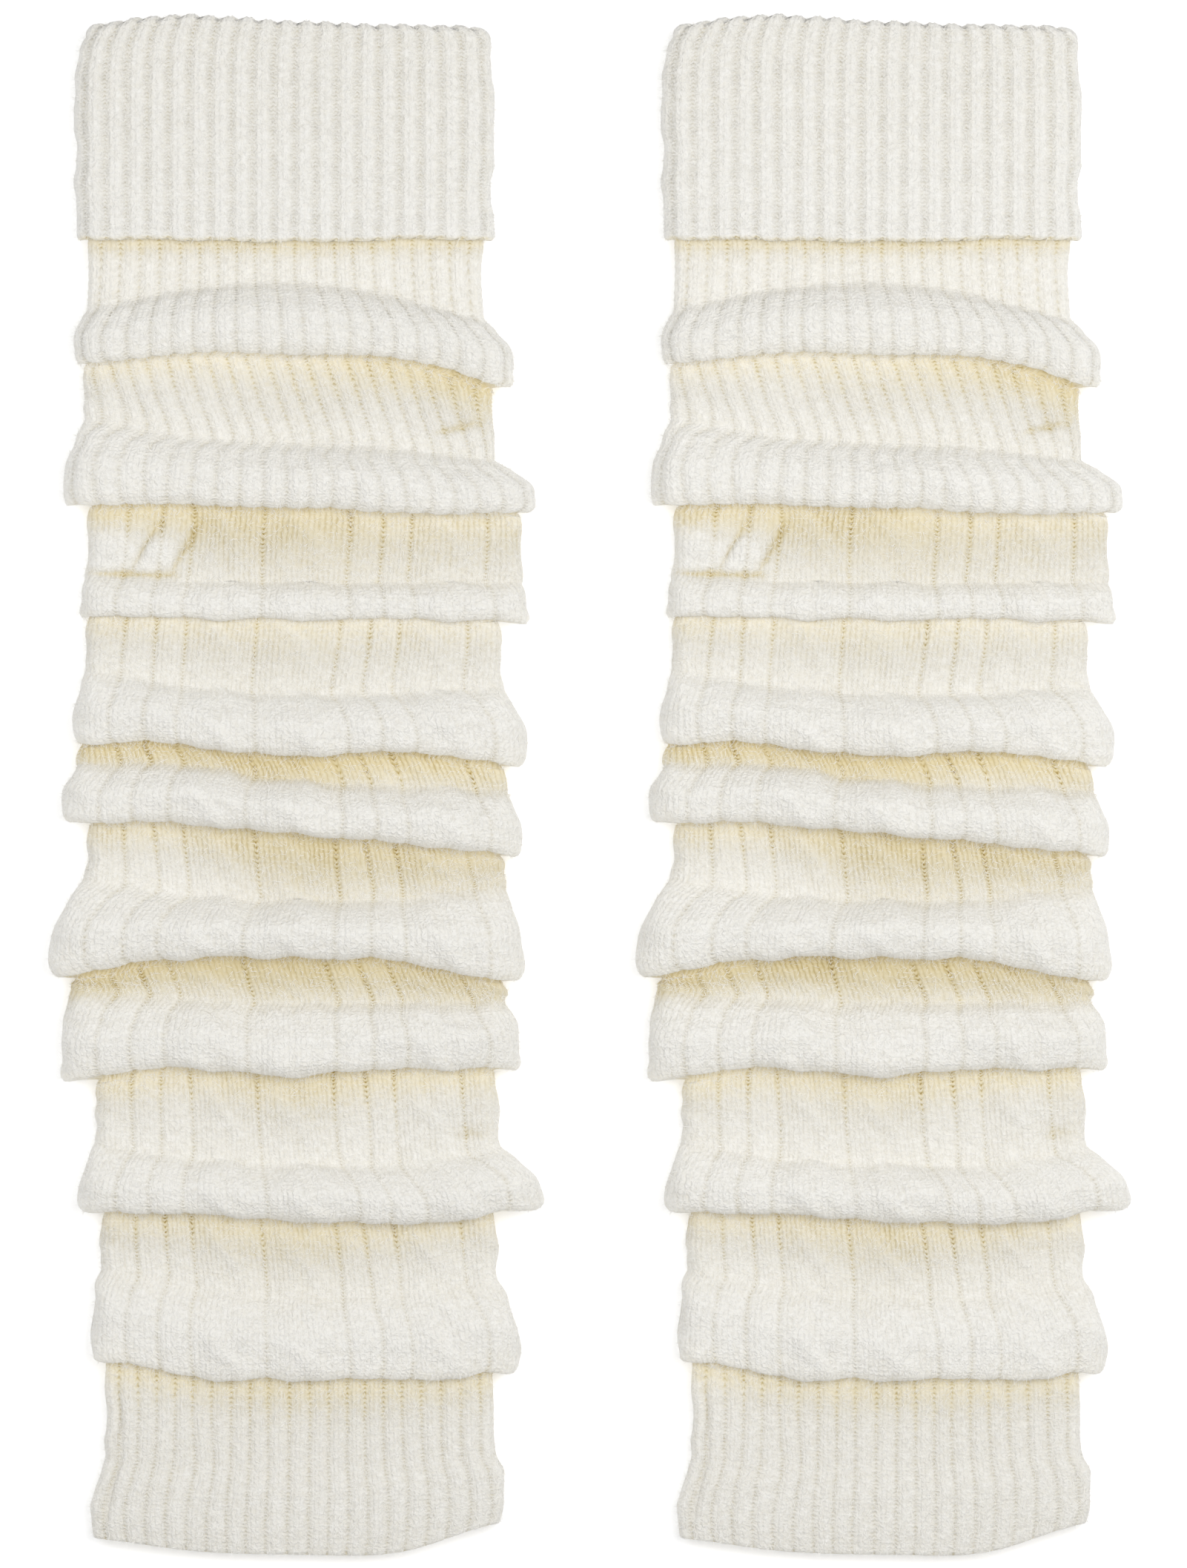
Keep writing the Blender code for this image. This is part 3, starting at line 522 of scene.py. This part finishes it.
def crease_lift(x, drop):
    """How far the creases raise the cloth, and how much they shade it."""
    lift, shade = np.zeros(x.shape), np.zeros(x.shape)
    for crease in CREASES:
        start, end = np.array(crease.start), np.array(crease.end)
        along = end - start
        share = ((x - start[0]) * along[0] + (drop - start[1]) * along[1]) / (along @ along)
        held = np.clip(share, 0, 1)
        off_x = x - start[0] - held * along[0]
        off_drop = drop - start[1] - held * along[1]
        near = np.exp(-(off_x**2 + off_drop**2) / crease.width**2)
        rounded = np.sin(math.pi * np.clip(share, 0.0, 1.0))
        tapered = near * (CREASE_END + (1 - CREASE_END) * rounded)
        lift += crease.height * tapered
        # Painted shade: a trough's shade darkens the cloth along it, and a ridge's shade below zero
        # takes painted shade away
        shade += crease.shade * tapered
    return lift, shade


SHADE_CLIMB = 1.3                  # how soon the shade has gone on the way up a fold


def tube(around, down):
    """Points of the smooth cloth, how far they face up, and their shade."""
    around = np.mod(around, 2.0)
    values = blend_levels(down)
    left, right, height, lift = (values[..., i] for i in (LEFT, RIGHT, HEIGHT, LIFT))
    free = 1 - np.clip(2 * around - 1, -1, 1)**6
    around = around + values[..., SLANT] / (right - left) * free
    x, z, facing = section(around, left, right, height, lift)
    across = np.clip((2 * x - left - right) / (right - left), -1, 1)
    pull = facing * values[..., PULL] + (1 - facing) * values[..., PULL_BEHIND]
    beside = across**SIDE_FADE
    pull = (1 - beside) * pull + beside * values[..., PULL_BESIDE]
    x = x + SIDE_BUMPS * across**SIDE_FADE * uneven(down, across, SIDE_BUMP_SIZE, seed=9)
    swollen = facing * np.clip((height - NECK_HEIGHT) / NECK_HEIGHT, 0, 1)
    drop = read_line(values[..., LINE], across) - pull
    drop = drop + FOLD_STRAY * swollen * uneven(x, down, FOLD_STRAY_SIZE, seed=3)
    z = z - DROOP * swollen * across**2 * (z - lift)
    z = z + swollen * (LUMPS * uneven(x, drop, LUMP_SIZE, seed=5)
                       + PUCKERS * uneven(x, drop, PUCKER_SIZE, seed=6))
    in_sight = np.clip(2 * values[..., RELIEF] - CREASE_HIDDEN, 0, 1)
    open_air = np.clip(2 * facing - 1, 0, 1) * in_sight
    crease, crease_shade = crease_lift(x, drop)
    z = z + crease * open_air
    below_lip = np.clip(drop - read_line(values[..., SHADE_FROM], across), 0, None)
    fading = np.exp(-(below_lip / read_line(values[..., REACH], across))**2)
    sunk = np.clip(1 - SHADE_CLIMB * swollen, 0, 1)
    shade = (read_line(values[..., SHADE], across) * fading + FAINT_SHADE) * sunk
    shade = shade + LIP_SHADE * values[..., GLOW] * (1 - sunk)
    shade = np.clip(shade + crease_shade * open_air, 0, 1)
    return np.stack([x, TOP_Y - drop, z], axis=-1), facing, shade


SHORT_TURN = 0.002                 # a short step round the tube, to find which way it faces


def facings(around, down, step):
    """Which way the tube faces, from short steps round it and down it."""
    turn = SHORT_TURN
    along_around = tube(around + turn, down)[0] - tube(around - turn, down)[0]
    along_down = tube(around, down + step)[0] - tube(around, down - step)[0]
    normal = np.cross(along_down, along_around)
    return normal / np.linalg.norm(normal, axis=-1, keepdims=True)


# A shell is a closed loop of rings round the tube. Each ring's points have a place round the tube
# and down it, which give the stitch chart, and values for its shade, groove, purl and glow. Its
# normals, and how open to the air its points are, are for the fuzz.
Ring = namedtuple("Ring", "points around down shade groove purl glow normals open")
FINE_SIDE = 0.10                   # how far round each side the underside keeps its fine columns
UNDER_COLUMNS = 16


def fine_columns(per_wale):
    """Columns at even shares of a wale on the front and sides, and a few on the underside."""
    count = WALES_ACROSS * per_wale
    side = round(FINE_SIDE * count)
    front = [i / count for i in range(count + side)]
    under = [1 + FINE_SIDE + i * (1 - 2 * FINE_SIDE) / UNDER_COLUMNS
             for i in range(UNDER_COLUMNS)]
    last = [2 - FINE_SIDE + i / count for i in range(side)]
    return np.array(front + under + last)


PLAIN_COLUMNS = np.array((0.0, 0.025, 0.05, 0.08, 0.25, 0.5, 0.75, 0.92, 0.95, 0.975, 1.0,
                          1.025, 1.05, 1.08, 1.5, 1.92, 1.95, 1.975))


# Painted light on the inside: painted shade makes it cream, and it glows in its own colour
INSIDE_SHADE, INSIDE_GLOW = 0.6, 0.7


def plain_ring(points, around, down):
    """A ring of the inside, with no knitted relief."""
    zero = np.zeros(around.shape)
    return Ring(points, around, zero + down, zero + INSIDE_SHADE, zero, zero, zero + INSIDE_GLOW,
                points, zero)


def join_rings(upper, upper_start, lower, lower_start, faces, corners):
    """Faces between two rings, with each corner's place round and down the cloth."""
    above = np.append(upper.around, upper.around[0] + 2.0)
    below = np.append(lower.around, lower.around[0] + 2.0)

    def a(i):
        return upper_start + i % len(upper.around), (above[i], upper.down[i % len(upper.around)])

    def b(j):
        return lower_start + j % len(lower.around), (below[j], lower.down[j % len(lower.around)])
    same = len(above) == len(below)
    i = j = 0
    while i < len(above) - 1 or j < len(below) - 1:
        if same:
            face = (a(i), b(j), b(j + 1), a(i + 1))
            i, j = i + 1, j + 1
        elif j == len(below) - 1 or (i < len(above) - 1 and above[i + 1] <= below[j + 1]):
            face = (a(i), b(j), a(i + 1))
            i += 1
        else:
            face = (a(i), b(j), b(j + 1))
            j += 1
        faces.append([index for index, _ in face])
        corners.extend(place for _, place in face)


def shell(name, rings, material):
    """A closed wall through a cycle of rings, with its stitch chart and its yarn, painted shade and
    glow attributes.
    """
    starts = np.cumsum([0] + [len(ring.around) for ring in rings])
    faces, corners = [], []
    for number, ring in enumerate(rings):
        after = (number + 1) % len(rings)
        join_rings(ring, starts[number], rings[after], starts[after], faces, corners)
    mesh = bpy.data.meshes.new(name)
    mesh.from_pydata(np.concatenate([ring.points for ring in rings]) * MM, [], faces)
    chart = mesh.uv_layers.new(name="stitches")
    places = np.array(corners) * (WALES_ACROSS, 1 / COURSE)
    chart.data.foreach_set("uv", places.astype(np.float32).ravel())
    for field in ("shade", "groove", "purl", "glow"):
        values = np.concatenate([getattr(ring, field) for ring in rings])
        attribute = mesh.attributes.new(field, "FLOAT", "POINT")
        attribute.data.foreach_set("value", values.astype(np.float32))
    mesh.shade_smooth()
    mesh.materials.append(material)
    obj = bpy.data.objects.new(name, mesh)
    bpy.context.scene.collection.objects.link(obj)
    return obj


# Fuzz: loose ends of yarn that stand off the cloth, as thin tapered slips
FUZZ_LENGTH = (2.0, 5.0)
FUZZ_WIDTH = 0.15
FUZZ_LIFT = 0.36                   # how far up a slip leans, as a share of its length
FUZZ_OPEN = 0.6                    # how open to the air the cloth is where they are seen
FUZZ_SPREAD = 0.4                  # how far a slip's root strays along the cloth


def fuzz(name, rings, count, seed):
    """Loose ends at random places on the rings' open points."""
    random = np.random.default_rng(seed)
    is_open = np.concatenate([ring.open for ring in rings]) > FUZZ_OPEN
    roots = np.concatenate([ring.points for ring in rings])[is_open]
    normals = np.concatenate([ring.normals for ring in rings])[is_open]
    picked = random.integers(0, len(roots), count)
    root, normal = roots[picked], normals[picked]
    run = random.normal(size=(count, 3))
    run -= (run * normal).sum(axis=1, keepdims=True) * normal
    run /= np.linalg.norm(run, axis=1, keepdims=True)
    root = root + run * random.uniform(-FUZZ_SPREAD, FUZZ_SPREAD, (count, 1))
    beside = 0.5 * FUZZ_WIDTH * np.cross(run, normal)
    length = random.uniform(*FUZZ_LENGTH, (count, 1))
    tip = root + length * ((1 - FUZZ_LIFT) * run + FUZZ_LIFT * normal)
    corners = np.stack([root - beside, root + beside, tip], axis=1).reshape(-1, 3)
    mesh = bpy.data.meshes.new(name)
    mesh.from_pydata(corners * MM, [], np.arange(3 * count).reshape(-1, 3).tolist())
    mesh.materials.append(FUZZ)
    obj = bpy.data.objects.new(name, mesh)
    bpy.context.scene.collection.objects.link(obj)
    return obj


INSIDE_SKIPS = ("shoulder", "brow", "under", "seam")
HEM_RADIUS = 0.5 * WALL
CLEAR_OF_TOP = 5.0
OUTSIDE_STEP = 0.3
INSIDE_STEP = 1.6
SEAM_GAP = 0.3
HALF_GAPS = (0.5 * SEAM_GAP, 0.5 * SEAM_GAP)
FRONT_WIDTH = 140
HEM_TURNS = np.linspace(0.1, 0.8, 6)   # half turns over which the hem goes round to the inside
RELIEF_FROM, RELIEF_OVER = 0.15, 0.3   # the facing at which the relief starts, and grows over


def relief_fade(facing):
    """How much of the knitted relief there is on a side that faces up so far."""
    return np.clip((facing - RELIEF_FROM) / RELIEF_OVER, 0, 1)


def wall(top, bottom, gaps, rows_per_course, relief):
    """The rings of one stretch of the tube: down its knitted outside and back up its inside."""
    columns = fine_columns(2)
    count = round((bottom - top) / COURSE * rows_per_course)
    rings = []
    for row in np.linspace(top + gaps[0], bottom - gaps[1], count + 1):
        down = np.full(columns.shape, row)
        wander = WANDER * uneven(columns * FRONT_WIDTH, down, WANDER_LUMPS, seed=11)
        points, facing, shade = tube(columns + wander, down)
        height, groove, purl = relief(columns, down)
        values = blend_levels(down)
        fade = relief_fade(facing) * values[..., RELIEF]
        normal = facings(columns + wander, down, OUTSIDE_STEP)
        points = points + normal * (height * fade)[..., None]
        rings.append(Ring(points, columns, down, shade, groove, purl, values[..., GLOW], normal,
                          fade))
    if gaps[1] == 0:
        rings = [ring for ring in rings if ring.down[0] <= bottom - HEM_RADIUS]
        for turn in HEM_TURNS * math.pi:
            row = bottom - HEM_RADIUS * (1 - math.sin(turn))
            down = np.full(columns.shape, row)
            points, facing, shade = tube(columns + wander, down)
            height, groove, purl = relief(columns, down)
            normal = facings(columns + wander, down, OUTSIDE_STEP)
            fade = relief_fade(facing) * (0.5 + 0.5 * math.cos(turn))
            # Painted shade and painted glow grow as the hem turns to the inside
            turned = 0.5 - 0.5 * math.cos(turn)
            shade = np.clip(shade + INSIDE_SHADE * turned, 0, 1)
            inset = HEM_RADIUS * (1 - math.cos(turn))
            points = points + normal * (height * fade - inset)[..., None]
            rings.append(Ring(points, columns, down - HEM_RADIUS * turn, shade, groove, purl,
                              np.full(columns.shape, INSIDE_GLOW * turned), normal, fade))
    inside_rows = [knot for knot, step in zip(KNOTS, STEP_NAMES)
                   if top + CLEAR_OF_TOP < knot < bottom and step not in INSIDE_SKIPS]
    for row in (bottom - gaps[1], *inside_rows[::-1], top + gaps[0]):
        down = np.full(PLAIN_COLUMNS.shape, row)
        inside = tube(PLAIN_COLUMNS, down)[0] - WALL * facings(PLAIN_COLUMNS, down, INSIDE_STEP)
        rings.append(plain_ring(inside, PLAIN_COLUMNS, row))
    return rings


def place_pair(stretch, rings, material, slot, slips, **cloth):
    """Make a stretch of both leg warmers with its fuzz, put them on the root body, and hide the CAD
    parts they stand for.
    """
    left_edge = {side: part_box(f"{side}_{stretch}")[0].x for side in ("left", "right")}
    half_apart = 0.5 * (left_edge["right"] - left_edge["left"])
    for side, along in (("left", -half_apart), ("right", half_apart)):
        piece = shell(f"{side}_{stretch}_knit", rings, material)
        ends = fuzz(f"{side}_{stretch}_fuzz", rings, slips, seed=7)
        for obj in (piece, ends):
            obj.data.transform(Matrix.Translation((along, 0, 0)))
            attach(obj, "root")
        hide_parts(f"{side}_{stretch}")


# The rib: two plain wales stand up as a round rib, and the two purl wales between them sink
# into a groove of short bars. There are 21 ribs across each face.
RIBS_ACROSS = 21
RIB_RISE = 0.75
WALE_RISE = 0.16
BAR_RISE = 0.22
RIB_ROUNDNESS = 0.8
FLAT_RIB = 0.7                     # how high a stretched rib stands, against a round one
FLAT_STEEPNESS, FLAT_START = 1.4, 0.2
PURL_WIDTH, PURL_SPREAD, PURL_FADE = 0.55, 0.25, 0.3
GROOVE_NARROW, GROOVE_SPREAD = 1.5, 1.3


def rib_stitch(around, down, spread=0.0):
    """Height, groove and purl of the rib. Spread is how far it is stretched open."""
    phase = math.pi * RIBS_ACROSS * around
    swell = np.abs(np.sin(phase))
    purl = np.clip((PURL_WIDTH + PURL_SPREAD * spread - swell) / PURL_FADE, 0, 1)
    wales = np.abs(np.sin(math.pi * WALES_ACROSS * around))
    bars = np.cos(2 * math.pi * down / COURSE)
    round_rib = swell**RIB_ROUNDNESS
    flat_rib = np.clip(FLAT_STEEPNESS * swell - FLAT_START, 0, 1)
    height = RIB_RISE * (round_rib * (1 - spread) + FLAT_RIB * flat_rib * spread)
    height = height + WALE_RISE * wales * (1 - purl) + BAR_RISE * bars * purl
    groove = np.clip(1 - (GROOVE_NARROW + GROOVE_SPREAD * spread) * swell, 0, 1)
    return height, groove, purl


# The cuff: the ribbed top of the tube, turned down over the rest, so it is two layers with a
# round fold at the top. Its ribs run over the fold and show as bumps in the outline. Its free
# edge is the cast-on edge, which is a little round.
CUFF_TOP = (3.6, 0.0, 1.6, 3.0, 4.2)
CUFF_TURN = WALL + 0.5 * CUFF_LAYER_GAP
CUFF_SLACK, CUFF_SLACK_SIZE = 0.5, (24.0, 16.0)    # how far the soft face bows in and out
CUFF_STRAY, CUFF_STRAY_SIZE = 0.5, (9.0, 30.0)     # how far its rows stray up and down
CUFF_BUMP_SIZE = (6.0, 60.0)
# Painted shade, more of it towards the cuff's top
CUFF_TOP_SHADE = 0.09
CUFF_RELIEF = 1.6                  # higher keeps the relief further round the cuff's edges
EDGE_START = 0.2                   # where the free edge's rounding starts, in radians
TOP_HALF_TURNS = 0.85              # how far the cloth turns over at the top
TOP_INSIDE = 1.6                   # how far down the top fold's inside is, in CUFF_TURNs
CORNER_LEFT, CORNER_RIGHT = 3.6, 1.2
CORNER_REACH = 0.06                # how far down a top corner's rounding goes, in cuff lengths
CUFF_BUMPS = 1.3                   # how much higher the ribs stand where they turn over the top


def cuff_point(around, share, offset, inset):
    """Points of the cuff, inset from its outer face, and how far they face up."""
    rounding = math.exp(-share / CORNER_REACH)
    x, z, facing = section(np.mod(around, 2.0), CUFF_LEFT + inset + CORNER_LEFT * rounding,
                           CUFF_RIGHT - inset - CORNER_RIGHT * rounding,
                           CUFF_HEIGHT - inset, inset)
    across = np.clip((2 * x - CUFF_LEFT - CUFF_RIGHT) / (CUFF_RIGHT - CUFF_LEFT), -1, 1)
    lines = np.broadcast_to(np.array([CUFF_TOP, CUFF_EDGE]), across.shape + (2, 5))
    drop = (read_line(lines[..., 0, :], across) * (1 - share)
            + read_line(lines[..., 1, :], across) * share + offset)
    return np.stack([x, TOP_Y - drop, z], axis=-1), facing


def cuff_facing(around, inset):
    """Which way the cuff's straight face looks, across its section."""
    turn = SHORT_TURN
    along = cuff_point(around + turn, 0.5, 0.0, inset)[0]
    along = along - cuff_point(around - turn, 0.5, 0.0, inset)[0]
    facing = np.stack([-along[..., 2], 0 * around, along[..., 0]], axis=-1)
    return facing / np.linalg.norm(facing, axis=-1, keepdims=True)


def cuff_rings():
    """Up the ribbed face, over the fold and down inside, then back between the two layers."""
    columns = fine_columns(2)
    length = CUFF_EDGE[2] - CUFF_TOP[2]
    rows = round(2 * length / COURSE)
    edge = 0.5 * WALL
    path = [(1.0, -edge * (1 - math.cos(turn)), edge * (1 - math.sin(turn)), turn - 0.5 * math.pi)
            for turn in np.linspace(EDGE_START, 0.5 * math.pi, 4)]
    path += [(share, -edge * share + CUFF_TURN * (1 - share), 0.0, 0.0)
             for share in np.linspace(1, 0, rows)[1:]]
    path += [(0.0, CUFF_TURN * (1 - math.sin(turn)), CUFF_TURN * (1 - math.cos(turn)), turn)
             for turn in np.linspace(0, TOP_HALF_TURNS * math.pi, 14)[1:]]
    rings = []
    down = 0.0
    before = None
    for share, offset, inset, turn in path:
        points, facing = cuff_point(columns, share, offset, inset)
        middle = points[WALES_ACROSS, 1:]
        down -= 0.0 if before is None else np.linalg.norm(middle - before)
        before = middle
        height, groove, purl = rib_stitch(columns, np.full(columns.shape, down), spread=1.0)
        fade = relief_fade(facing) * np.clip(CUFF_RELIEF * math.cos(0.5 * turn), 0, 1)
        normal = math.cos(turn) * cuff_facing(columns, inset) + [0, math.sin(turn), 0]
        bow = CUFF_SLACK * uneven(points[:, 0], points[:, 1], CUFF_SLACK_SIZE, seed=21)
        bow = bow * np.clip(facing, 0, 1)
        height = height * (1 + CUFF_BUMPS * math.sin(turn)) if turn > 0 else height
        points = points + normal * (height * fade)[..., None]
        points[:, 2] += bow * (1 if turn == 0 else math.cos(turn))
        points[:, 1] += CUFF_STRAY * uneven(points[:, 0], points[:, 1], CUFF_STRAY_SIZE, seed=22)
        beside = ((2 * points[:, 0] - CUFF_LEFT - CUFF_RIGHT) / (CUFF_RIGHT - CUFF_LEFT))**SIDE_FADE
        side_lumps = uneven(points[:, 1], points[:, 0], CUFF_BUMP_SIZE, seed=23)
        points[:, 0] += SIDE_BUMPS * beside * side_lumps
        # Painted shade towards the cuff's top, and painted shade and glow where its free edge turns
        # under
        turned = max(0.0, -math.sin(turn))
        shade = np.full(columns.shape, CUFF_TOP_SHADE * (1 - share) + INSIDE_SHADE * turned)
        rings.append(Ring(points, columns, np.full(columns.shape, down), shade, groove, purl,
                          np.full(columns.shape, INSIDE_GLOW * turned), normal, fade))
    plain = PLAIN_COLUMNS
    rings.append(plain_ring(cuff_point(plain, 0.0, TOP_INSIDE * CUFF_TURN, 2 * CUFF_TURN)[0],
                            plain, 0))
    hidden = 0.5 * CUFF_LAYER_GAP
    for inset in (2 * CUFF_TURN, CUFF_TURN + hidden):
        points = cuff_point(plain, 1.0, 0.0, inset)[0]
        points[..., 1] = TOP_Y - CUFF_SEAM + 0.5 * SEAM_GAP
        rings.append(plain_ring(points, plain, 0))
    between = ((0.0, CUFF_TURN, CUFF_TURN + hidden), (0.0, CUFF_TURN - hidden, CUFF_TURN),
               (0.0, CUFF_TURN, CUFF_TURN - hidden), (1.0, -edge, WALL))
    for share, offset, inset in between:
        rings.append(plain_ring(cuff_point(plain, share, offset, inset)[0], plain, 0))
    return rings


place_pair("cuff", cuff_rings(), CUFF_KNIT, "rib_knit", slips=7000,
           flat=(0.29, 0.132), held="folded")


# The rib top: the rib goes on below the cuff through the first two folds, as far as the lip of
# the second. It shows from under the cuff's edge.
SEAMS = [knot for knot, step in zip(KNOTS, STEP_NAMES) if step == "seam"]
RIB_TOP_RINGS = wall(KNOTS[0], SEAMS[RIB_FOLDS - 1], HALF_GAPS, 2, rib_stitch)
place_pair("rib_top", RIB_TOP_RINGS, RIB_KNIT, "rib_knit", slips=11000,
           flat=(0.28, 0.122), held="gathered")


# The cable leg: smooth panels parted by single purl wales. The wide panels carry a cable of two
# strands that cross each other, and the narrow ones are plain.
PANEL_REPEAT = 42                  # wales
PANEL_START = 34.5
PANEL_GROOVES = (0, 16, 22, 28, 42)
PANEL_RISE = 1.1
NARROW_RISE = 0.7                  # how high a narrow panel stands, against a wide one
WIDE_PANEL = 10
CABLE_RISE = 1.1
CABLE_PITCH = 34.0
CABLE_SWAY = 0.22                  # how far a strand goes from side to side, in panel widths
STRAND_WIDTH = 0.17
STRAND_BELOW = 0.4                 # how high a strand stands where it goes under the other
STRAND_BASE = 0.3                  # what is taken off both, so that the cloth beside them sinks
GROOVE_HALF = 0.75                 # wales
ON_EDGE = 1e-6                     # a place on an edge counts as the panel after it
STRAND_GAP_SHADE = 0.80                       # how deep the painted shade is between a cable's strands


def panel_stitch(around, down):
    """Height, groove and purl of the panels at a place on the cloth."""
    wale = np.mod(around * WALES_ACROSS - PANEL_START, PANEL_REPEAT)
    edges = np.array(PANEL_GROOVES)
    panel = np.clip(np.searchsorted(edges, wale + ON_EDGE, side="right") - 1, 0, len(edges) - 2)
    width = edges[panel + 1] - edges[panel]
    place = np.clip((wale - edges[panel]) / width, 0, 1)
    wide = width > WIDE_PANEL
    swell = np.sin(math.pi * place)**0.5
    turn = 2 * math.pi * down / CABLE_PITCH
    strands = 0.0
    for start in (0.0, math.pi):
        middle = 0.5 + CABLE_SWAY * np.sin(turn + start)
        on_top = 0.5 + 0.5 * np.cos(turn + start)
        strand = np.exp(-((place - middle) / STRAND_WIDTH)**2)
        strand = strand * (STRAND_BELOW + (1 - STRAND_BELOW) * on_top)
        strands = np.maximum(strands, strand)
    wales = np.abs(np.sin(math.pi * WALES_ACROSS * around))
    cabled = PANEL_RISE * swell + CABLE_RISE * (strands - STRAND_BASE) * swell
    height = np.where(wide, cabled, NARROW_RISE * PANEL_RISE * swell) + WALE_RISE * wales
    groove = np.clip(1 - np.minimum(place, 1 - place) * width / GROOVE_HALF, 0, 1)
    between_strands = np.where(wide, STRAND_GAP_SHADE * (1 - strands) * swell, 0.0)
    return height, np.maximum(groove, between_strands), groove


CABLE_RINGS = wall(SEAMS[RIB_FOLDS - 1], SEAMS[-1], HALF_GAPS, 1.3, panel_stitch)
place_pair("cable_leg", CABLE_RINGS, CABLE_KNIT, "cable_knit", slips=30000,
           flat=(0.29, 0.365), held="gathered")


# The ankle: 2x2 rib again, straight from under the last fold to the cast-off hem.
ANKLE_RINGS = wall(SEAMS[-1], KNOTS[-1], (0.5 * SEAM_GAP, 0.0), 2, rib_stitch)
place_pair("ankle_rib", ANKLE_RINGS, RIB_KNIT, "rib_knit", slips=6000,
           flat=(0.275, 0.062), held="laid")


# The studio: a plain white surface that the pair lies on, an even white surround, and a softbox
# at each side. The camera looks straight down, as the photo does.
FLOOR_DROP = 0.2
bpy.ops.mesh.primitive_plane_add(size=6.0, location=(0, 0, -FLOOR_DROP * MM))
floor = bpy.context.object
floor.name = "floor"
paper = bpy.data.materials.new("white_paper")
paper.use_nodes = True
paper_shader = paper.node_tree.nodes["Principled BSDF"]
paper_shader.inputs["Base Color"].default_value = (0.93, 0.93, 0.93, 1.0)
paper_shader.inputs["Roughness"].default_value = 0.9
paper_shader.inputs["Specular IOR Level"].default_value = 0.1
paper_shader.inputs["Emission Color"].default_value = (1.0, 1.0, 1.0, 1.0)
paper_shader.inputs["Emission Strength"].default_value = 0.25
floor.data.materials.append(paper)

surround = bpy.data.worlds.new("surround")
bpy.context.scene.world = surround
surround.use_nodes = True
surround.node_tree.nodes["Background"].inputs["Color"].default_value = (0.97, 0.98, 1.0, 1.0)
surround.node_tree.nodes["Background"].inputs["Strength"].default_value = 0.42

SOFTBOX_SIZE = (0.8, 1.4)
SOFTBOX_WATTS = {"left": 7.9, "right": 13.3}
SOFTBOX_PLACES = {"left": (-0.75, 0.17, 1.3), "right": (0.75, 0.20, 1.3)}
for side, place in SOFTBOX_PLACES.items():
    light = bpy.data.lights.new(f"softbox_{side}", "AREA")
    light.shape = "RECTANGLE"
    light.size, light.size_y = SOFTBOX_SIZE
    light.energy = SOFTBOX_WATTS[side]
    softbox = bpy.data.objects.new(f"softbox_{side}", light)
    softbox.location = place
    softbox.rotation_euler = (-softbox.location).to_track_quat("-Z", "Y").to_euler()
    bpy.context.scene.collection.objects.link(softbox)

PICTURE_WIDTH_PX, PICTURE_HEIGHT_PX = 1601, 2115
MM_PER_PX = 0.25
PAIR_MIDDLE_PX = (796.0, 1062.0)
VIEW_PLANE = 9.0                   # the height of cloth at which a pixel is its stated size
lens, sensor = 200.0, 36.0
camera_data = bpy.data.cameras.new("camera")
camera_data.lens = lens
camera_data.sensor_width = sensor
camera_data.dof.use_dof = False
camera = bpy.data.objects.new("camera", camera_data)
distance = PICTURE_HEIGHT_PX * MM_PER_PX * lens / sensor
camera.location = ((0.5 * PICTURE_WIDTH_PX - PAIR_MIDDLE_PX[0]) * MM_PER_PX * MM,
                   (PAIR_MIDDLE_PX[1] - 0.5 * PICTURE_HEIGHT_PX) * MM_PER_PX * MM,
                   (VIEW_PLANE + distance) * MM)
camera_data.clip_end = 20.0
bpy.context.scene.collection.objects.link(camera)
bpy.context.scene.camera = camera
bpy.context.scene.view_settings.view_transform = "Standard"
bpy.context.scene.view_settings.look = "None"
bpy.context.scene.view_settings.exposure = 0.0
